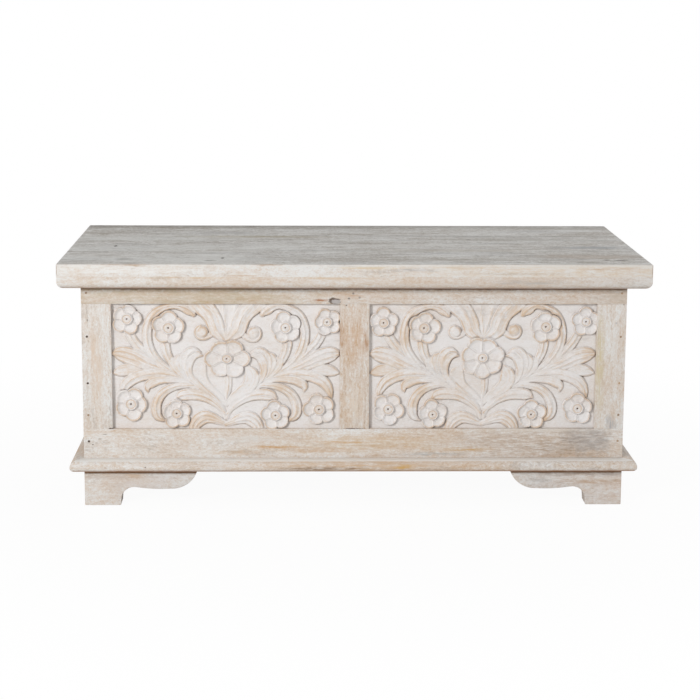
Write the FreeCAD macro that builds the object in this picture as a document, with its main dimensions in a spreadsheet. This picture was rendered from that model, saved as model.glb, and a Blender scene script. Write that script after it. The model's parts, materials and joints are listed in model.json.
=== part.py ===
"""Storage chest of lime-washed solid wood, with a hinged plank lid.

The front is a frame of rails and stiles round two carved panels. The sides and the back are plain
frames and panels between corner posts. A moulded base frame on bracket feet carries the case, and the
lid turns on two butt hinges and is held open by two slotted stays.

The origin is the middle of the floor area under the chest: X runs to the right as seen from the
front, Y to the back and Z up. Lengths are in millimetres.
"""
import FreeCAD, Part
import math
import os
import Sketcher

Vector = FreeCAD.Vector

# The sizes that drive the model, in millimetres, or in degrees where the name says so
SIZES = {
    # Whole chest: lid to lid across, lid front to hinge barrels, floor to lid top
    "chest_width": 1100,
    "chest_depth": 600,
    "chest_height": 467,
    # Lid
    "lid_overhang": 40,
    "lid_board": 23,
    "lid_strip": 23,
    "lid_strip_width": 62,
    "lid_edge_round": 13,
    "second_plank_width": 165,
    "third_plank_width": 183,
    "back_plank_width": 63.4,
    "batten_width": 60,
    "batten_thickness": 12,
    "batten_inset": 290,
    "lid_opening_degrees": 100,
    # Front frame and its panels
    "frame_thickness": 25,
    "top_rail_height": 34,
    "bottom_rail_height": 56,
    "stile_width": 55,
    "panel_thickness": 10,
    "panel_setback": 10,
    "groove_depth": 8,
    "panel_play": 1,
    "petal_relief": 5.5,
    "boss_relief": 8.5,
    # Corner posts, side and back frames, bottom
    "post_width": 36,
    "wall_thickness": 22,
    "wall_panel_thickness": 10,
    "wall_panel_setback": 6,
    "bottom_thickness": 12,
    # Base frame
    "base_overhang": 25,
    "base_board": 22,
    "base_board_width": 80,
    "base_nose_round": 13,
    "base_lower_round": 8,
    # Bracket feet
    "foot_height": 70,
    "foot_thickness": 44,
    "foot_leg_width": 68,
    "foot_reach": 214,
    # Nails of the front frame
    "nail_head_radius": 2.2,
    "nail_head_thickness": 1,
    "nail_radius": 1.1,
    "nail_length": 50,
    # Hinges
    "hinge_inset": 190,
    "hinge_length": 76,
    "hinge_leaf_width": 30,
    "hinge_leaf_thickness": 2,
    "knuckle_radius": 4,
    "knuckle_gap": 0.3,
    "hinge_clearance": 0.6,
    "hinge_pin_radius": 2,
    "hinge_pin_play": 0.05,
    # Wood screws of hinges and stays
    "screw_length": 14,
    "screw_radius": 1.8,
    "screw_head_radius": 3.4,
    "screw_head_height": 1.6,
    "screw_play": 0.1,
    # Slotted lid stays
    "stay_reach": 130,
    "stay_rise": 11,
    "stay_bar_width": 14,
    "stay_bar_thickness": 2.5,
    "stay_plate_thickness": 2,
    "stay_plate_length": 48,
    "stay_plate_height": 18,
    "stay_bracket_width": 20,
    "stay_bracket_length": 46,
    "stay_screw_spread": 32,
    "stay_gap": 0.5,
    "stay_pin_radius": 3,
    "stay_pin_head_radius": 5.5,
    "stay_pin_head_thickness": 1.5,
    "stay_rivet_radius": 2.5,
    "stay_rivet_head_radius": 4,
    "stay_rivet_head_thickness": 1,
    "stay_pin_play": 0.08,
}

SIDES = {"left": -1, "right": 1}
ENDS = ("front", "back")

# Height of one arc over its chord for a quarter round, as a share of the chord
QUARTER_BOW_SHARE = math.tan(math.pi / 8) / 2

# Underside of a foot's wing from leg to tip: shares of its reach and height, and the bow share of
# the stretch that follows, positive where the wood is hollowed
WING_OUTLINE_SHARES = [
    (0.007, 0.20, 0.211),
    (0.205, 0.50, -0.027),
    (0.651, 0.457, -0.179),
    (1, 1, 0),
]

# Nails through each end of the front frame: shares of the stile's and of each rail's height
STILE_NAIL_SHARES = (0.113, 0.369, 0.741)
TOP_RAIL_NAIL_SHARE = 0.61
BOTTOM_RAIL_NAIL_SHARE = 0.58

# Distance of these nails from the case's side, as a share of the post's width
NAIL_INSET_SHARE = 0.27

# Flowers of a carved panel: distance from its middle and from its lower edge, and the radius,
# as shares of the panel opening's width, height and height, and the number of petals
FLOWER_SHARES = [
    (0.000, 0.565, 0.180, 6),
    (0.265, 0.810, 0.127, 5),
    (-0.265, 0.810, 0.127, 5),
    (0.442, 0.860, 0.115, 5),
    (-0.442, 0.860, 0.115, 5),
    (0.418, 0.160, 0.127, 5),
    (-0.418, 0.160, 0.127, 5),
    (0.219, 0.120, 0.117, 5),
    (-0.219, 0.120, 0.117, 5),
]
PETAL_VALLEY_SHARE = 0.74
PETAL_BOW_SHARE = 0.32
BOSS_RADIUS_SHARE = 0.3

KNUCKLE_OWNERS = ("case", "lid", "case", "lid", "case")


class Size:
    """A length, angle or count from the sheet: its number now, and the expression that gives it."""

    def __init__(self, number, text):
        self.number = number
        self.text = text

    def __add__(self, other):
        return Size(self.number + other.number, f"({self.text} + {other.text})")

    def __sub__(self, other):
        return Size(self.number - other.number, f"({self.text} - {other.text})")

    def __mul__(self, factor):
        if isinstance(factor, Size):
            return Size(self.number * factor.number, f"{self.text} * {factor.text}")
        return Size(self.number * factor, f"{self.text} * ({factor})")

    def __truediv__(self, divisor):
        return Size(self.number / divisor, f"{self.text} / {divisor}")

    def __neg__(self):
        return Size(-self.number, f"(0 - {self.text})")

    def root(self):
        return Size(math.sqrt(self.number), f"sqrt({self.text})")

    def sine(self):
        return Size(math.sin(math.radians(self.number)), f"sin({self.text} * 1 deg)")

    def cosine(self):
        return Size(math.cos(math.radians(self.number)), f"cos({self.text} * 1 deg)")


ZERO = Size(0, "0")

doc = FreeCAD.newDocument("StorageChest")
sheet = doc.addObject("Spreadsheet::Sheet", "Sizes")


class Sizes:
    """Every named size of the sheet as an attribute."""


s = Sizes()
for row, (size_name, size_number) in enumerate(SIZES.items(), start=1):
    sheet.set(f"A{row}", size_name)
    sheet.set(f"B{row}", str(size_number))
    sheet.setAlias(f"B{row}", size_name)
    setattr(s, size_name, Size(size_number, f"Sizes.{size_name}"))
doc.recompute()

# Node name to finished object, filled by the builders below
nodes = {}


def keep(name, thing):
    """Makes an object one of the chest's own pieces."""
    thing.Label = name
    nodes[name] = thing
    return thing


def place(thing, x, y, z):
    """Binds an object's place to the sheet."""
    for axis, value in (("x", x), ("y", y), ("z", z)):
        thing.setExpression(f"Placement.Base.{axis}", value.text)


def box(name, x, y, z):
    """A board between two places on each axis."""
    board = doc.addObject("Part::Box", name)
    for side, (low, high) in (("Length", x), ("Width", y), ("Height", z)):
        board.setExpression(side, (high - low).text)
    place(board, x[0], y[0], z[0])
    return board


def rod(name, direction, start, length, radius):
    """A round bar from a start point along a direction."""
    bar = doc.addObject("Part::Cylinder", name)
    bar.setExpression("Radius", radius.text)
    bar.setExpression("Height", length.text)
    bar.Placement.Rotation = FreeCAD.Rotation(Vector(0, 0, 1), direction)
    place(bar, *start)
    return bar


def cone(name, direction, start, length, wide, narrow):
    """A cone's stump from its wide end along a direction."""
    stump = doc.addObject("Part::Cone", name)
    stump.setExpression("Radius1", wide.text)
    stump.setExpression("Radius2", narrow.text)
    stump.setExpression("Height", length.text)
    stump.Placement.Rotation = FreeCAD.Rotation(Vector(0, 0, 1), direction)
    place(stump, *start)
    return stump


def fuse(name, pieces):
    """One solid from pieces that touch or overlap."""
    whole = doc.addObject("Part::MultiFuse", name)
    whole.Shapes = pieces
    whole.Refine = True
    return whole


def cut(name, base, tools):
    """A base with the tools' space taken away."""
    tool = tools[0]
    if len(tools) > 1:
        tool = fuse(name + "_tools", tools)
    rest = doc.addObject("Part::Cut", name)
    rest.Base = base
    rest.Tool = tool
    return rest


def overlap(name, base, tool):
    """What two solids share."""
    shared = doc.addObject("Part::Common", name)
    shared.Base = base
    shared.Tool = tool
    return shared


def group(name, solids):
    """Like fasteners kept together as separate solids."""
    lot = doc.addObject("Part::Compound", name)
    lot.Links = solids
    return keep(name, lot)


def span(middle, width):
    """The two places half a width either side of a middle."""
    return (middle - width / 2, middle + width / 2)


def sided(side, inner, outer):
    """Two distances from the middle plane as places on one side of the chest, in rising order."""
    if side < 0:
        return (-outer, -inner)
    return (inner, outer)


def arc_through(start, end, bow):
    """An arc over a chord, kept anticlockwise, and the number of its end that is at the start."""
    chord = end - start
    middle = (start + end) * 0.5 + Vector(-chord.y, chord.x, 0) * bow
    if bow > 0:
        return Part.Arc(end, middle, start), 2
    return Part.Arc(start, middle, end), 1


def outline(sketch, corners):
    """Draws a closed outline of (x, y, bow share) corners and binds each one to the sheet.

    The bow share says how far the stretch after a corner bulges to the left, as a share of its
    chord. A stretch with none is straight.
    """
    ends = []
    for index, (x, y, bow) in enumerate(corners):
        after = corners[(index + 1) % len(corners)]
        start = Vector(x.number, y.number, 0)
        end = Vector(after[0].number, after[1].number, 0)
        first = 1
        edge = Part.LineSegment(start, end)
        if bow:
            edge, first = arc_through(start, end, bow)
        stretch = sketch.addGeometry(edge, False)
        ends.append((stretch, first))
        if bow:
            run, climb = after[0] - x, after[1] - y
            chord = (run * run + climb * climb).root()
            radius = chord * ((0.25 + bow * bow) / (2 * abs(bow)))
            bind(sketch, Sketcher.Constraint("Radius", stretch, radius.number), radius)
    for index, (stretch, first) in enumerate(ends):
        before, before_first = ends[index - 1]
        sketch.addConstraint(Sketcher.Constraint("Coincident", before, 3 - before_first, stretch, first))
        x, y, _ = corners[index]
        for kind, size, axis in (("DistanceX", x, -2), ("DistanceY", y, -1)):
            if size.number == 0:
                sketch.addConstraint(Sketcher.Constraint("PointOnObject", stretch, first, axis))
            else:
                bind(sketch, Sketcher.Constraint(kind, -1, 1, stretch, first, size.number), size)


def bind(sketch, constraint, size):
    """Adds a dimension to a sketch and ties it to the sheet."""
    index = sketch.addConstraint(constraint)
    sketch.setExpression(f"Constraints[{index}]", size.text)


def pad(name, plane, corners, low, high):
    """A solid with a drawn outline, between two places along the plane's normal."""
    body = doc.addObject("PartDesign::Body", name)
    sketch = body.newObject("Sketcher::SketchObject", name + "_outline")
    origin_plane = next(item for item in body.Origin.OriginFeatures if item.Role == plane)
    sketch.AttachmentSupport = [(origin_plane, "")]
    sketch.MapMode = "FlatFace"
    # A sketch on the XZ plane faces the front, so its pad starts at the rear place
    offset = -high if plane == "XZ_Plane" else low
    sketch.setExpression("AttachmentOffset.Base.z", offset.text)
    outline(sketch, corners)
    solid = body.newObject("PartDesign::Pad", name + "_pad")
    solid.Profile = sketch
    solid.setExpression("Length", (high - low).text)
    sketch.Visibility = False
    return body


# Heights of the seams between the chest's levels
base_bottom = s.foot_height
case_bottom = base_bottom + s.base_board
seam = s.chest_height - s.lid_board - s.lid_strip
board_bottom = s.chest_height - s.lid_board
rail_top = case_bottom + s.bottom_rail_height
rail_bottom = seam - s.top_rail_height

# Places across and along the chest
lid_half = s.chest_width / 2
lid_front = -(s.chest_depth / 2)
case_half = lid_half - s.lid_overhang
case_front = lid_front + s.lid_overhang
hinge_axis = s.chest_depth / 2 - s.knuckle_radius
case_back = hinge_axis - s.knuckle_radius - s.hinge_clearance
frame_back = case_front + s.frame_thickness
post_inner = case_half - s.post_width
wall_inner = case_half - s.wall_thickness
back_wall_inner = case_back - s.wall_thickness
front_post = (frame_back, frame_back + s.post_width)
back_post = (case_back - s.post_width, case_back)
hinge_middle = case_half - s.hinge_inset
base_half = case_half + s.base_overhang
base_front = case_front - s.base_overhang

# Panel openings of the front: distances from the middle plane
opening_inner = s.stile_width / 2
opening_outer = case_half - s.stile_width
opening_width = opening_outer - opening_inner
opening_height = rail_bottom - rail_top
opening_middle = (opening_outer + opening_inner) / 2

# The layers that panels share with their grooves and stub tenons: of the sides, as distances from
# the middle plane, of the back and of the front
side_layer = (
    case_half - s.wall_panel_setback - s.wall_panel_thickness,
    case_half - s.wall_panel_setback,
)
back_layer = (
    case_back - s.wall_panel_setback - s.wall_panel_thickness,
    case_back - s.wall_panel_setback,
)
panel_layer = (case_front + s.panel_setback, case_front + s.panel_setback + s.panel_thickness)
tongue = s.groove_depth - s.panel_play
groove_heights = (rail_top - s.groove_depth, rail_bottom + s.groove_depth)
tongue_heights = (rail_top - tongue, rail_bottom + tongue)


def front_frame():
    """Two rails the whole width of the front, and three stiles with stub tenons between them."""
    full = (-case_half, case_half)
    depth = (case_front, frame_back)
    for name, heights, groove in (
        ("front_top_rail", (rail_bottom, seam), (rail_bottom, groove_heights[1])),
        ("front_bottom_rail", (case_bottom, rail_top), (groove_heights[0], rail_top)),
    ):
        blank = box(name + "_blank", full, depth, heights)
        channel = box(name + "_groove", full, panel_layer, groove)
        keep(name, cut(name, blank, [channel]))
    stile("front_centre_stile", (-opening_inner, opening_inner), (-1, 1))
    for side_name, side in SIDES.items():
        stile(f"front_{side_name}_stile", sided(side, opening_outer, case_half), (-side,))


def stile(name, x, grooved):
    """An upright of the front frame, grooved on the sides that face a panel."""
    blank = box(name + "_blank", x, (case_front, frame_back), (rail_top, rail_bottom))
    tenons = box(name + "_tenons", x, panel_layer, groove_heights)
    channels = []
    for side in grooved:
        edge = x[0] if side < 0 else x[1]
        reach = (edge, edge + s.groove_depth) if side < 0 else (edge - s.groove_depth, edge)
        channels.append(box(f"{name}_groove{len(channels)}", reach, panel_layer, groove_heights))
    keep(name, cut(name, fuse(name + "_whole", [blank, tenons]), channels))


def flower(name, middle, height, radius, petals):
    """A carved flower on a panel: a scalloped disc with a round boss."""
    ground = panel_layer[0]
    corners = []
    valley = radius * PETAL_VALLEY_SHARE
    for index in range(petals):
        turn = 2 * math.pi * index / petals + math.pi / 2
        x = middle + valley * math.cos(turn)
        z = height + valley * math.sin(turn)
        corners.append((x, z, -PETAL_BOW_SHARE))
    disc = pad(name + "_petals", "XZ_Plane", corners, ground - s.petal_relief, ground)
    start = (middle, ground - s.boss_relief, height)
    boss = rod(name + "_boss", Vector(0, 1, 0), start, s.boss_relief, radius * BOSS_RADIUS_SHARE)
    return [disc, boss]


def carved_panels():
    """The two front panels, tongued into the frame, with their flowers in relief."""
    for side_name, side in SIDES.items():
        name = f"{side_name}_carved_panel"
        x = sided(side, opening_inner - tongue, opening_outer + tongue)
        parts = [box(name + "_board", x, panel_layer, tongue_heights)]
        middle = opening_middle * side
        for index, (across_share, up_share, radius_share, petals) in enumerate(FLOWER_SHARES):
            across = middle + opening_width * across_share
            up = rail_top + opening_height * up_share
            radius = opening_height * radius_share
            parts += flower(f"{name}_flower{index}", across, up, radius, petals)
        keep(name, fuse(name, parts))


def corner_posts():
    """Four square posts, grooved for the side panels and, at the back, for the back panels."""
    for side_name, side in SIDES.items():
        x = sided(side, post_inner, case_half)
        for end, y in (("front", front_post), ("back", back_post)):
            name = f"{end}_{side_name}_post"
            blank = box(name + "_blank", x, y, (case_bottom, seam))
            reach = (y[1] - s.groove_depth, y[1]) if end == "front" else (y[0], y[0] + s.groove_depth)
            channels = [box(name + "_side_groove", sided(side, *side_layer), reach, groove_heights)]
            if end == "back":
                reach = sided(side, post_inner, post_inner + s.groove_depth)
                channels.append(box(name + "_back_groove", reach, back_layer, groove_heights))
            keep(name, cut(name, blank, channels))


def grooved_rails(prefix, x, y, layer_x, layer_y, cuts):
    """The top and bottom rail of one wall, grooved for its panel, with any further cuts."""
    for level, heights, groove in (
        ("top", (rail_bottom, seam), (rail_bottom, groove_heights[1])),
        ("bottom", (case_bottom, rail_top), (groove_heights[0], rail_top)),
    ):
        name = f"{prefix}_{level}_rail"
        blank = box(name + "_blank", x, y, heights)
        channels = [box(name + "_groove", layer_x, layer_y, groove)]
        keep(name, cut(name, blank, channels + cuts.get(level, [])))


def side_walls():
    """A top rail, a bottom rail and a panel between the posts on each side."""
    y = (front_post[1], back_post[0])
    for side_name, side in SIDES.items():
        x = sided(side, wall_inner, case_half)
        grooved_rails(f"{side_name}_side", x, y, sided(side, *side_layer), y, {})
        name = f"{side_name}_side_panel"
        keep(name, box(name, sided(side, *side_layer), (y[0] - tongue, y[1] + tongue), tongue_heights))


def back_wall():
    """A top rail with the hinge mortises, a bottom rail, a stile and two panels."""
    x = (-post_inner, post_inner)
    y = (back_wall_inner, case_back)
    mortises = [hinge_plate(f"{name}_case_mortise", side, "case") for name, side in SIDES.items()]
    grooved_rails("back", x, y, x, back_layer, {"top": mortises})
    half = s.stile_width / 2
    name = "back_centre_stile"
    blank = box(name + "_blank", (-half, half), y, (rail_top, rail_bottom))
    tenons = box(name + "_tenons", (-half, half), back_layer, groove_heights)
    channels = []
    for side_name, side in SIDES.items():
        reach = sided(side, half - s.groove_depth, half)
        channels.append(box(f"{name}_{side_name}_groove", reach, back_layer, groove_heights))
    keep(name, cut(name, fuse(name + "_whole", [blank, tenons]), channels))
    for side_name, side in SIDES.items():
        name = f"back_{side_name}_panel"
        reach = sided(side, half - tongue, post_inner + tongue)
        keep(name, box(name, reach, back_layer, tongue_heights))


def bottom_panel():
    """The floor of the case: it lies on the base frame's inner margin, notched round the posts."""
    name = "bottom_panel"
    z = (case_bottom, case_bottom + s.bottom_thickness)
    blank = box(name + "_blank", (-wall_inner, wall_inner), (frame_back, back_wall_inner), z)
    notches = []
    for side_name, side in SIDES.items():
        for end, y in (("front", front_post), ("back", back_post)):
            x = sided(side, post_inner, case_half)
            notches.append(box(f"{name}_{end}_{side_name}_notch", x, y, z))
    keep(name, cut(name, blank, notches))


def edge_profile(to_place, turn, width, z, low_round, high_round):
    """The cross-section of an edging board, from its outer edge inward.

    to_place turns a distance from the outer edge into a place, and turn is 1 where that place
    rises with the distance and -1 where it falls.
    """
    low, high = z
    bow = -QUARTER_BOW_SHARE * turn
    corners = [(to_place(low_round), low, 0), (to_place(width), low, 0), (to_place(width), high, 0)]
    if high_round is None:
        corners.append((to_place(ZERO), high, 0))
    else:
        corners.append((to_place(high_round), high, bow))
        corners.append((to_place(ZERO), high - high_round, 0))
    corners.append((to_place(ZERO), low + low_round, bow))
    return corners


def edging(name_of, half, front, width, z, low_round, high_round):
    """A front board and two side boards, mitred at the front corners and square at the back."""
    back = case_back

    def from_front(distance):
        return front + distance

    name = name_of("front")
    profile = edge_profile(from_front, 1, width, z, low_round, high_round)
    run = pad(name + "_run", "YZ_Plane", profile, -half, half)
    plan = [
        (-half, front, 0),
        (half, front, 0),
        (half - width, front + width, 0),
        (width - half, front + width, 0),
    ]
    keep(name, overlap(name, run, pad(name + "_plan", "XY_Plane", plan, *z)))
    for side_name, side in SIDES.items():
        name = name_of(side_name)

        def from_side(distance, side=side):
            return (half - distance) * side

        profile = edge_profile(from_side, -side, width, z, low_round, high_round)
        run = pad(name + "_run", "XZ_Plane", profile, front, back)
        plan = [
            (half * side, front, 0),
            (half * side, back, 0),
            ((half - width) * side, back, 0),
            ((half - width) * side, front + width, 0),
        ]
        keep(name, overlap(name, run, pad(name + "_plan", "XY_Plane", plan, *z)))


def base_frame():
    """Three moulded boards round the front and sides, and a plain board at the back."""
    z = (base_bottom, case_bottom)
    width = s.base_board_width
    edging(lambda where: f"base_{where}_moulding", base_half, base_front, width, z,
           s.base_lower_round, s.base_nose_round)
    inner = base_half - width
    keep("base_back_board", box("base_back_board", (-inner, inner), (case_back - width, case_back), z))


def foot_bracket(name, plane, to_place, turn, start, thick_low, thick_high):
    """One wing of a foot: a square leg and a shaped wing that dies out under the base."""
    reach = s.foot_reach - s.foot_leg_width
    corners = [(to_place(start), ZERO, 0), (to_place(s.foot_leg_width), ZERO, 0)]
    for along_share, up_share, bow_share in WING_OUTLINE_SHARES:
        along = to_place(s.foot_leg_width + reach * along_share)
        corners.append((along, s.foot_height * up_share, bow_share * turn))
    corners.append((to_place(start), s.foot_height, 0))
    keep(name, pad(name, plane, corners, thick_low, thick_high))


def feet():
    """A bracket along the front or back and one along the side, butted together at each corner."""
    for end in ENDS:
        outer = case_front if end == "front" else case_back
        sense = 1 if end == "front" else -1
        inner = outer + s.foot_thickness * sense
        thickness = (outer, inner) if end == "front" else (inner, outer)
        for side_name, side in SIDES.items():

            def from_side(distance, side=side):
                return (case_half - distance) * side

            def from_end(distance, outer=outer, sense=sense):
                return outer + distance * sense

            name = f"{end}_{side_name}_foot"
            foot_bracket(name + "_face", "XZ_Plane", from_side, -side, ZERO, *thickness)
            x = sided(side, case_half - s.foot_thickness, case_half)
            foot_bracket(name + "_side", "YZ_Plane", from_end, sense, s.foot_thickness, *x)


def nails():
    """Brads through the ends of the front frame into the posts, with their heads flush."""
    into = Vector(0, 1, 0)
    heights = [rail_top + opening_height * share for share in STILE_NAIL_SHARES]
    heights.append(rail_bottom + s.top_rail_height * TOP_RAIL_NAIL_SHARE)
    heights.append(case_bottom + s.bottom_rail_height * BOTTOM_RAIL_NAIL_SHARE)
    brads = []
    for side in SIDES.values():
        x = (case_half - s.post_width * NAIL_INSET_SHARE) * side
        for z in heights:
            name = f"nail{len(brads)}"
            start = (x, case_front, z)
            head = rod(name + "_head", into, start, s.nail_head_thickness, s.nail_head_radius)
            shank = rod(name + "_shank", into, start, s.nail_length, s.nail_radius)
            brads.append(fuse(name, [head, shank]))
    group("front_frame_nails", brads)


def screw(name, direction, start, play=ZERO):
    """A countersunk wood screw, or with some play the hole that it passes through."""
    head = cone(name + "_head", direction, start, s.screw_head_height,
                s.screw_head_radius + play, s.screw_radius + play)
    shank = rod(name + "_shank", direction, start, s.screw_length, s.screw_radius + play)
    return fuse(name, [head, shank])


def hinge_plate(name, side, owner):
    """The flat of one hinge leaf, which is also the space of its mortise."""
    x = span(hinge_middle * side, s.hinge_length)
    y = (case_back - s.hinge_leaf_width, case_back)
    z = (seam - s.hinge_leaf_thickness, seam) if owner == "case" else (seam, seam + s.hinge_leaf_thickness)
    return box(name, x, y, z)


def hinge_screws(prefix, side, owner, play):
    """The three screws of one leaf, or their holes."""
    direction = Vector(0, 0, -1) if owner == "case" else Vector(0, 0, 1)
    middle = hinge_middle * side
    y = case_back - s.hinge_leaf_width / 2
    made = []
    for step in (-1, 0, 1):
        x = middle + s.hinge_length / 3 * step
        made.append(screw(f"{prefix}{step + 2}", direction, (x, y, seam), play))
    return made


def hinge_leaf(name, side, owner):
    """One leaf of a butt hinge with its share of the five knuckles."""
    along = Vector(1, 0, 0)
    x_low = hinge_middle * side - s.hinge_length / 2
    z = (seam - s.hinge_leaf_thickness, seam) if owner == "case" else (seam, seam + s.hinge_leaf_thickness)
    count = len(KNUCKLE_OWNERS)
    width = (s.hinge_length - s.knuckle_gap * (count - 1)) / count
    parts = [hinge_plate(name + "_plate", side, owner)]
    for index, knuckle_owner in enumerate(KNUCKLE_OWNERS):
        if knuckle_owner != owner:
            continue
        x = x_low + (width + s.knuckle_gap) * index
        parts.append(box(f"{name}_tab{index}", (x, x + width), (case_back, hinge_axis), z))
        start = (x, hinge_axis, seam)
        parts.append(rod(f"{name}_knuckle{index}", along, start, width, s.knuckle_radius))
    bore_radius = s.hinge_pin_radius + s.hinge_pin_play
    bore = rod(name + "_bore", along, (x_low, hinge_axis, seam), s.hinge_length, bore_radius)
    holes = hinge_screws(name + "_hole", side, owner, s.screw_play)
    keep(name, cut(name, fuse(name + "_whole", parts), [bore] + holes))


def hinges():
    """Two butt hinges with their leaves let into the case and the lid."""
    along = Vector(1, 0, 0)
    for side_name, side in SIDES.items():
        for owner in ("case", "lid"):
            hinge_leaf(f"{side_name}_hinge_{owner}_leaf", side, owner)
        name = f"{side_name}_hinge_pin"
        start = (hinge_middle * side - s.hinge_length / 2, hinge_axis, seam)
        keep(name, rod(name, along, start, s.hinge_length, s.hinge_pin_radius))


# Both pivots of a stay lie at one distance from the hinge axis, so its bar turns by half the lid's
# angle: the distances between the pivots with the lid shut and with it open
stay_y = hinge_axis - s.stay_reach
lid_pivot_z = seam + s.stay_rise
case_pin_z = seam - s.stay_rise
shut_distance = s.stay_rise * 2
half_opening = s.lid_opening_degrees / 2
open_distance = s.stay_reach * 2 * half_opening.sine() + s.stay_rise * 2 * half_opening.cosine()

# Layers of a stay from the side wall inward, as distances from the middle plane
plate_layer = (wall_inner - s.stay_plate_thickness, wall_inner)
bar_layer = (
    plate_layer[0] - s.stay_gap - s.stay_bar_thickness,
    plate_layer[0] - s.stay_gap,
)
ear_layer = (bar_layer[0] - s.stay_gap - s.stay_plate_thickness, bar_layer[0] - s.stay_gap)


def cross_rod(name, side, layer, z, radius):
    """A round piece across a stay, between two distances from the middle plane."""
    x = sided(side, *layer)
    return rod(name, Vector(1, 0, 0), (x[0], stay_y, z), x[1] - x[0], radius)


def stay_bar(side_name, side):
    """The slotted bar: round at both ends, hanging from the lid when it is shut."""
    name = f"{side_name}_stay_bar"
    x = sided(side, *bar_layer)
    low_z = lid_pivot_z - open_distance
    slot_radius = s.stay_pin_radius + s.stay_pin_play
    blank = fuse(name + "_blank", [
        box(name + "_flat", x, span(stay_y, s.stay_bar_width), (low_z, lid_pivot_z)),
        cross_rod(name + "_top", side, bar_layer, lid_pivot_z, s.stay_bar_width / 2),
        cross_rod(name + "_end", side, bar_layer, low_z, s.stay_bar_width / 2),
    ])
    slot_top = lid_pivot_z - shut_distance
    slot = [
        box(name + "_slot", x, span(stay_y, slot_radius * 2), (low_z, slot_top)),
        cross_rod(name + "_slot_top", side, bar_layer, slot_top, slot_radius),
        cross_rod(name + "_slot_end", side, bar_layer, low_z, slot_radius),
    ]
    eye = cross_rod(name + "_eye", side, bar_layer, lid_pivot_z, s.stay_rivet_radius + s.stay_pin_play)
    keep(name, cut(name, blank, slot + [eye]))


def stay_case_plate(side_name, side):
    """The plate on the side wall with the headed pin that runs in the bar's slot."""
    name = f"{side_name}_stay_plate"
    plate = box(name + "_flat", sided(side, *plate_layer), span(stay_y, s.stay_plate_length),
                span(case_pin_z, s.stay_plate_height))
    pin_end = bar_layer[0] - s.stay_gap
    pin = cross_rod(name + "_pin", side, (pin_end, plate_layer[0]), case_pin_z, s.stay_pin_radius)
    head_layer = (pin_end - s.stay_pin_head_thickness, pin_end)
    head = cross_rod(name + "_head", side, head_layer, case_pin_z, s.stay_pin_head_radius)
    holes = stay_plate_screws(name + "_hole", side, s.screw_play)
    keep(name, cut(name, fuse(name + "_whole", [plate, pin, head]), holes))


def stay_plate_screws(prefix, side, play):
    """The two screws of a stay's plate, or their holes."""
    direction = Vector(side, 0, 0)
    x = plate_layer[0] * side
    made = []
    for index, y in enumerate(span(stay_y, s.stay_screw_spread)):
        made.append(screw(f"{prefix}{index}", direction, (x, y, case_pin_z), play))
    return made


def stay_lid_bracket(side_name, side):
    """The angle under the lid, with the rivet that the bar swings on."""
    name = f"{side_name}_stay_bracket"
    flat_layer = (ear_layer[1] - s.stay_bracket_width, ear_layer[1])
    flat_z = (board_bottom - s.stay_plate_thickness, board_bottom)
    flat = box(name + "_flat", sided(side, *flat_layer), span(stay_y, s.stay_bracket_length), flat_z)
    ear_z = (lid_pivot_z - s.stay_bar_width / 2, board_bottom)
    ear = box(name + "_ear", sided(side, *ear_layer), span(stay_y, s.stay_bar_width), ear_z)
    rivet_end = bar_layer[1] + s.stay_gap / 2
    rivet = cross_rod(name + "_rivet", side, (ear_layer[1], rivet_end), lid_pivot_z, s.stay_rivet_radius)
    head_layer = (rivet_end, rivet_end + s.stay_rivet_head_thickness)
    head = cross_rod(name + "_rivet_head", side, head_layer, lid_pivot_z, s.stay_rivet_head_radius)
    holes = stay_bracket_screws(name + "_hole", side, s.screw_play)
    keep(name, cut(name, fuse(name + "_whole", [flat, ear, rivet, head]), holes))


def stay_bracket_screws(prefix, side, play):
    """The two screws of a stay's lid bracket, or their holes."""
    x = (ear_layer[0] - s.stay_bracket_width / 2 + s.stay_plate_thickness / 2) * side
    z = board_bottom - s.stay_plate_thickness
    made = []
    for index, y in enumerate(span(stay_y, s.stay_screw_spread)):
        made.append(screw(f"{prefix}{index}", Vector(0, 0, 1), (x, y, z), play))
    return made


def stays():
    """A slotted stay on each side, between the lid and the side wall."""
    for side_name, side in SIDES.items():
        stay_bar(side_name, side)
        stay_case_plate(side_name, side)
        stay_lid_bracket(side_name, side)


def screws():
    """All wood screws, one group in the case and one in the lid."""
    case_lot = []
    lid_lot = []
    for side_name, side in SIDES.items():
        case_lot += hinge_screws(f"{side_name}_hinge_case_screw", side, "case", ZERO)
        case_lot += stay_plate_screws(f"{side_name}_stay_plate_screw", side, ZERO)
        lid_lot += hinge_screws(f"{side_name}_hinge_lid_screw", side, "lid", ZERO)
        lid_lot += stay_bracket_screws(f"{side_name}_stay_bracket_screw", side, ZERO)
    group("case_screws", case_lot)
    group("lid_screws", lid_lot)


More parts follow.
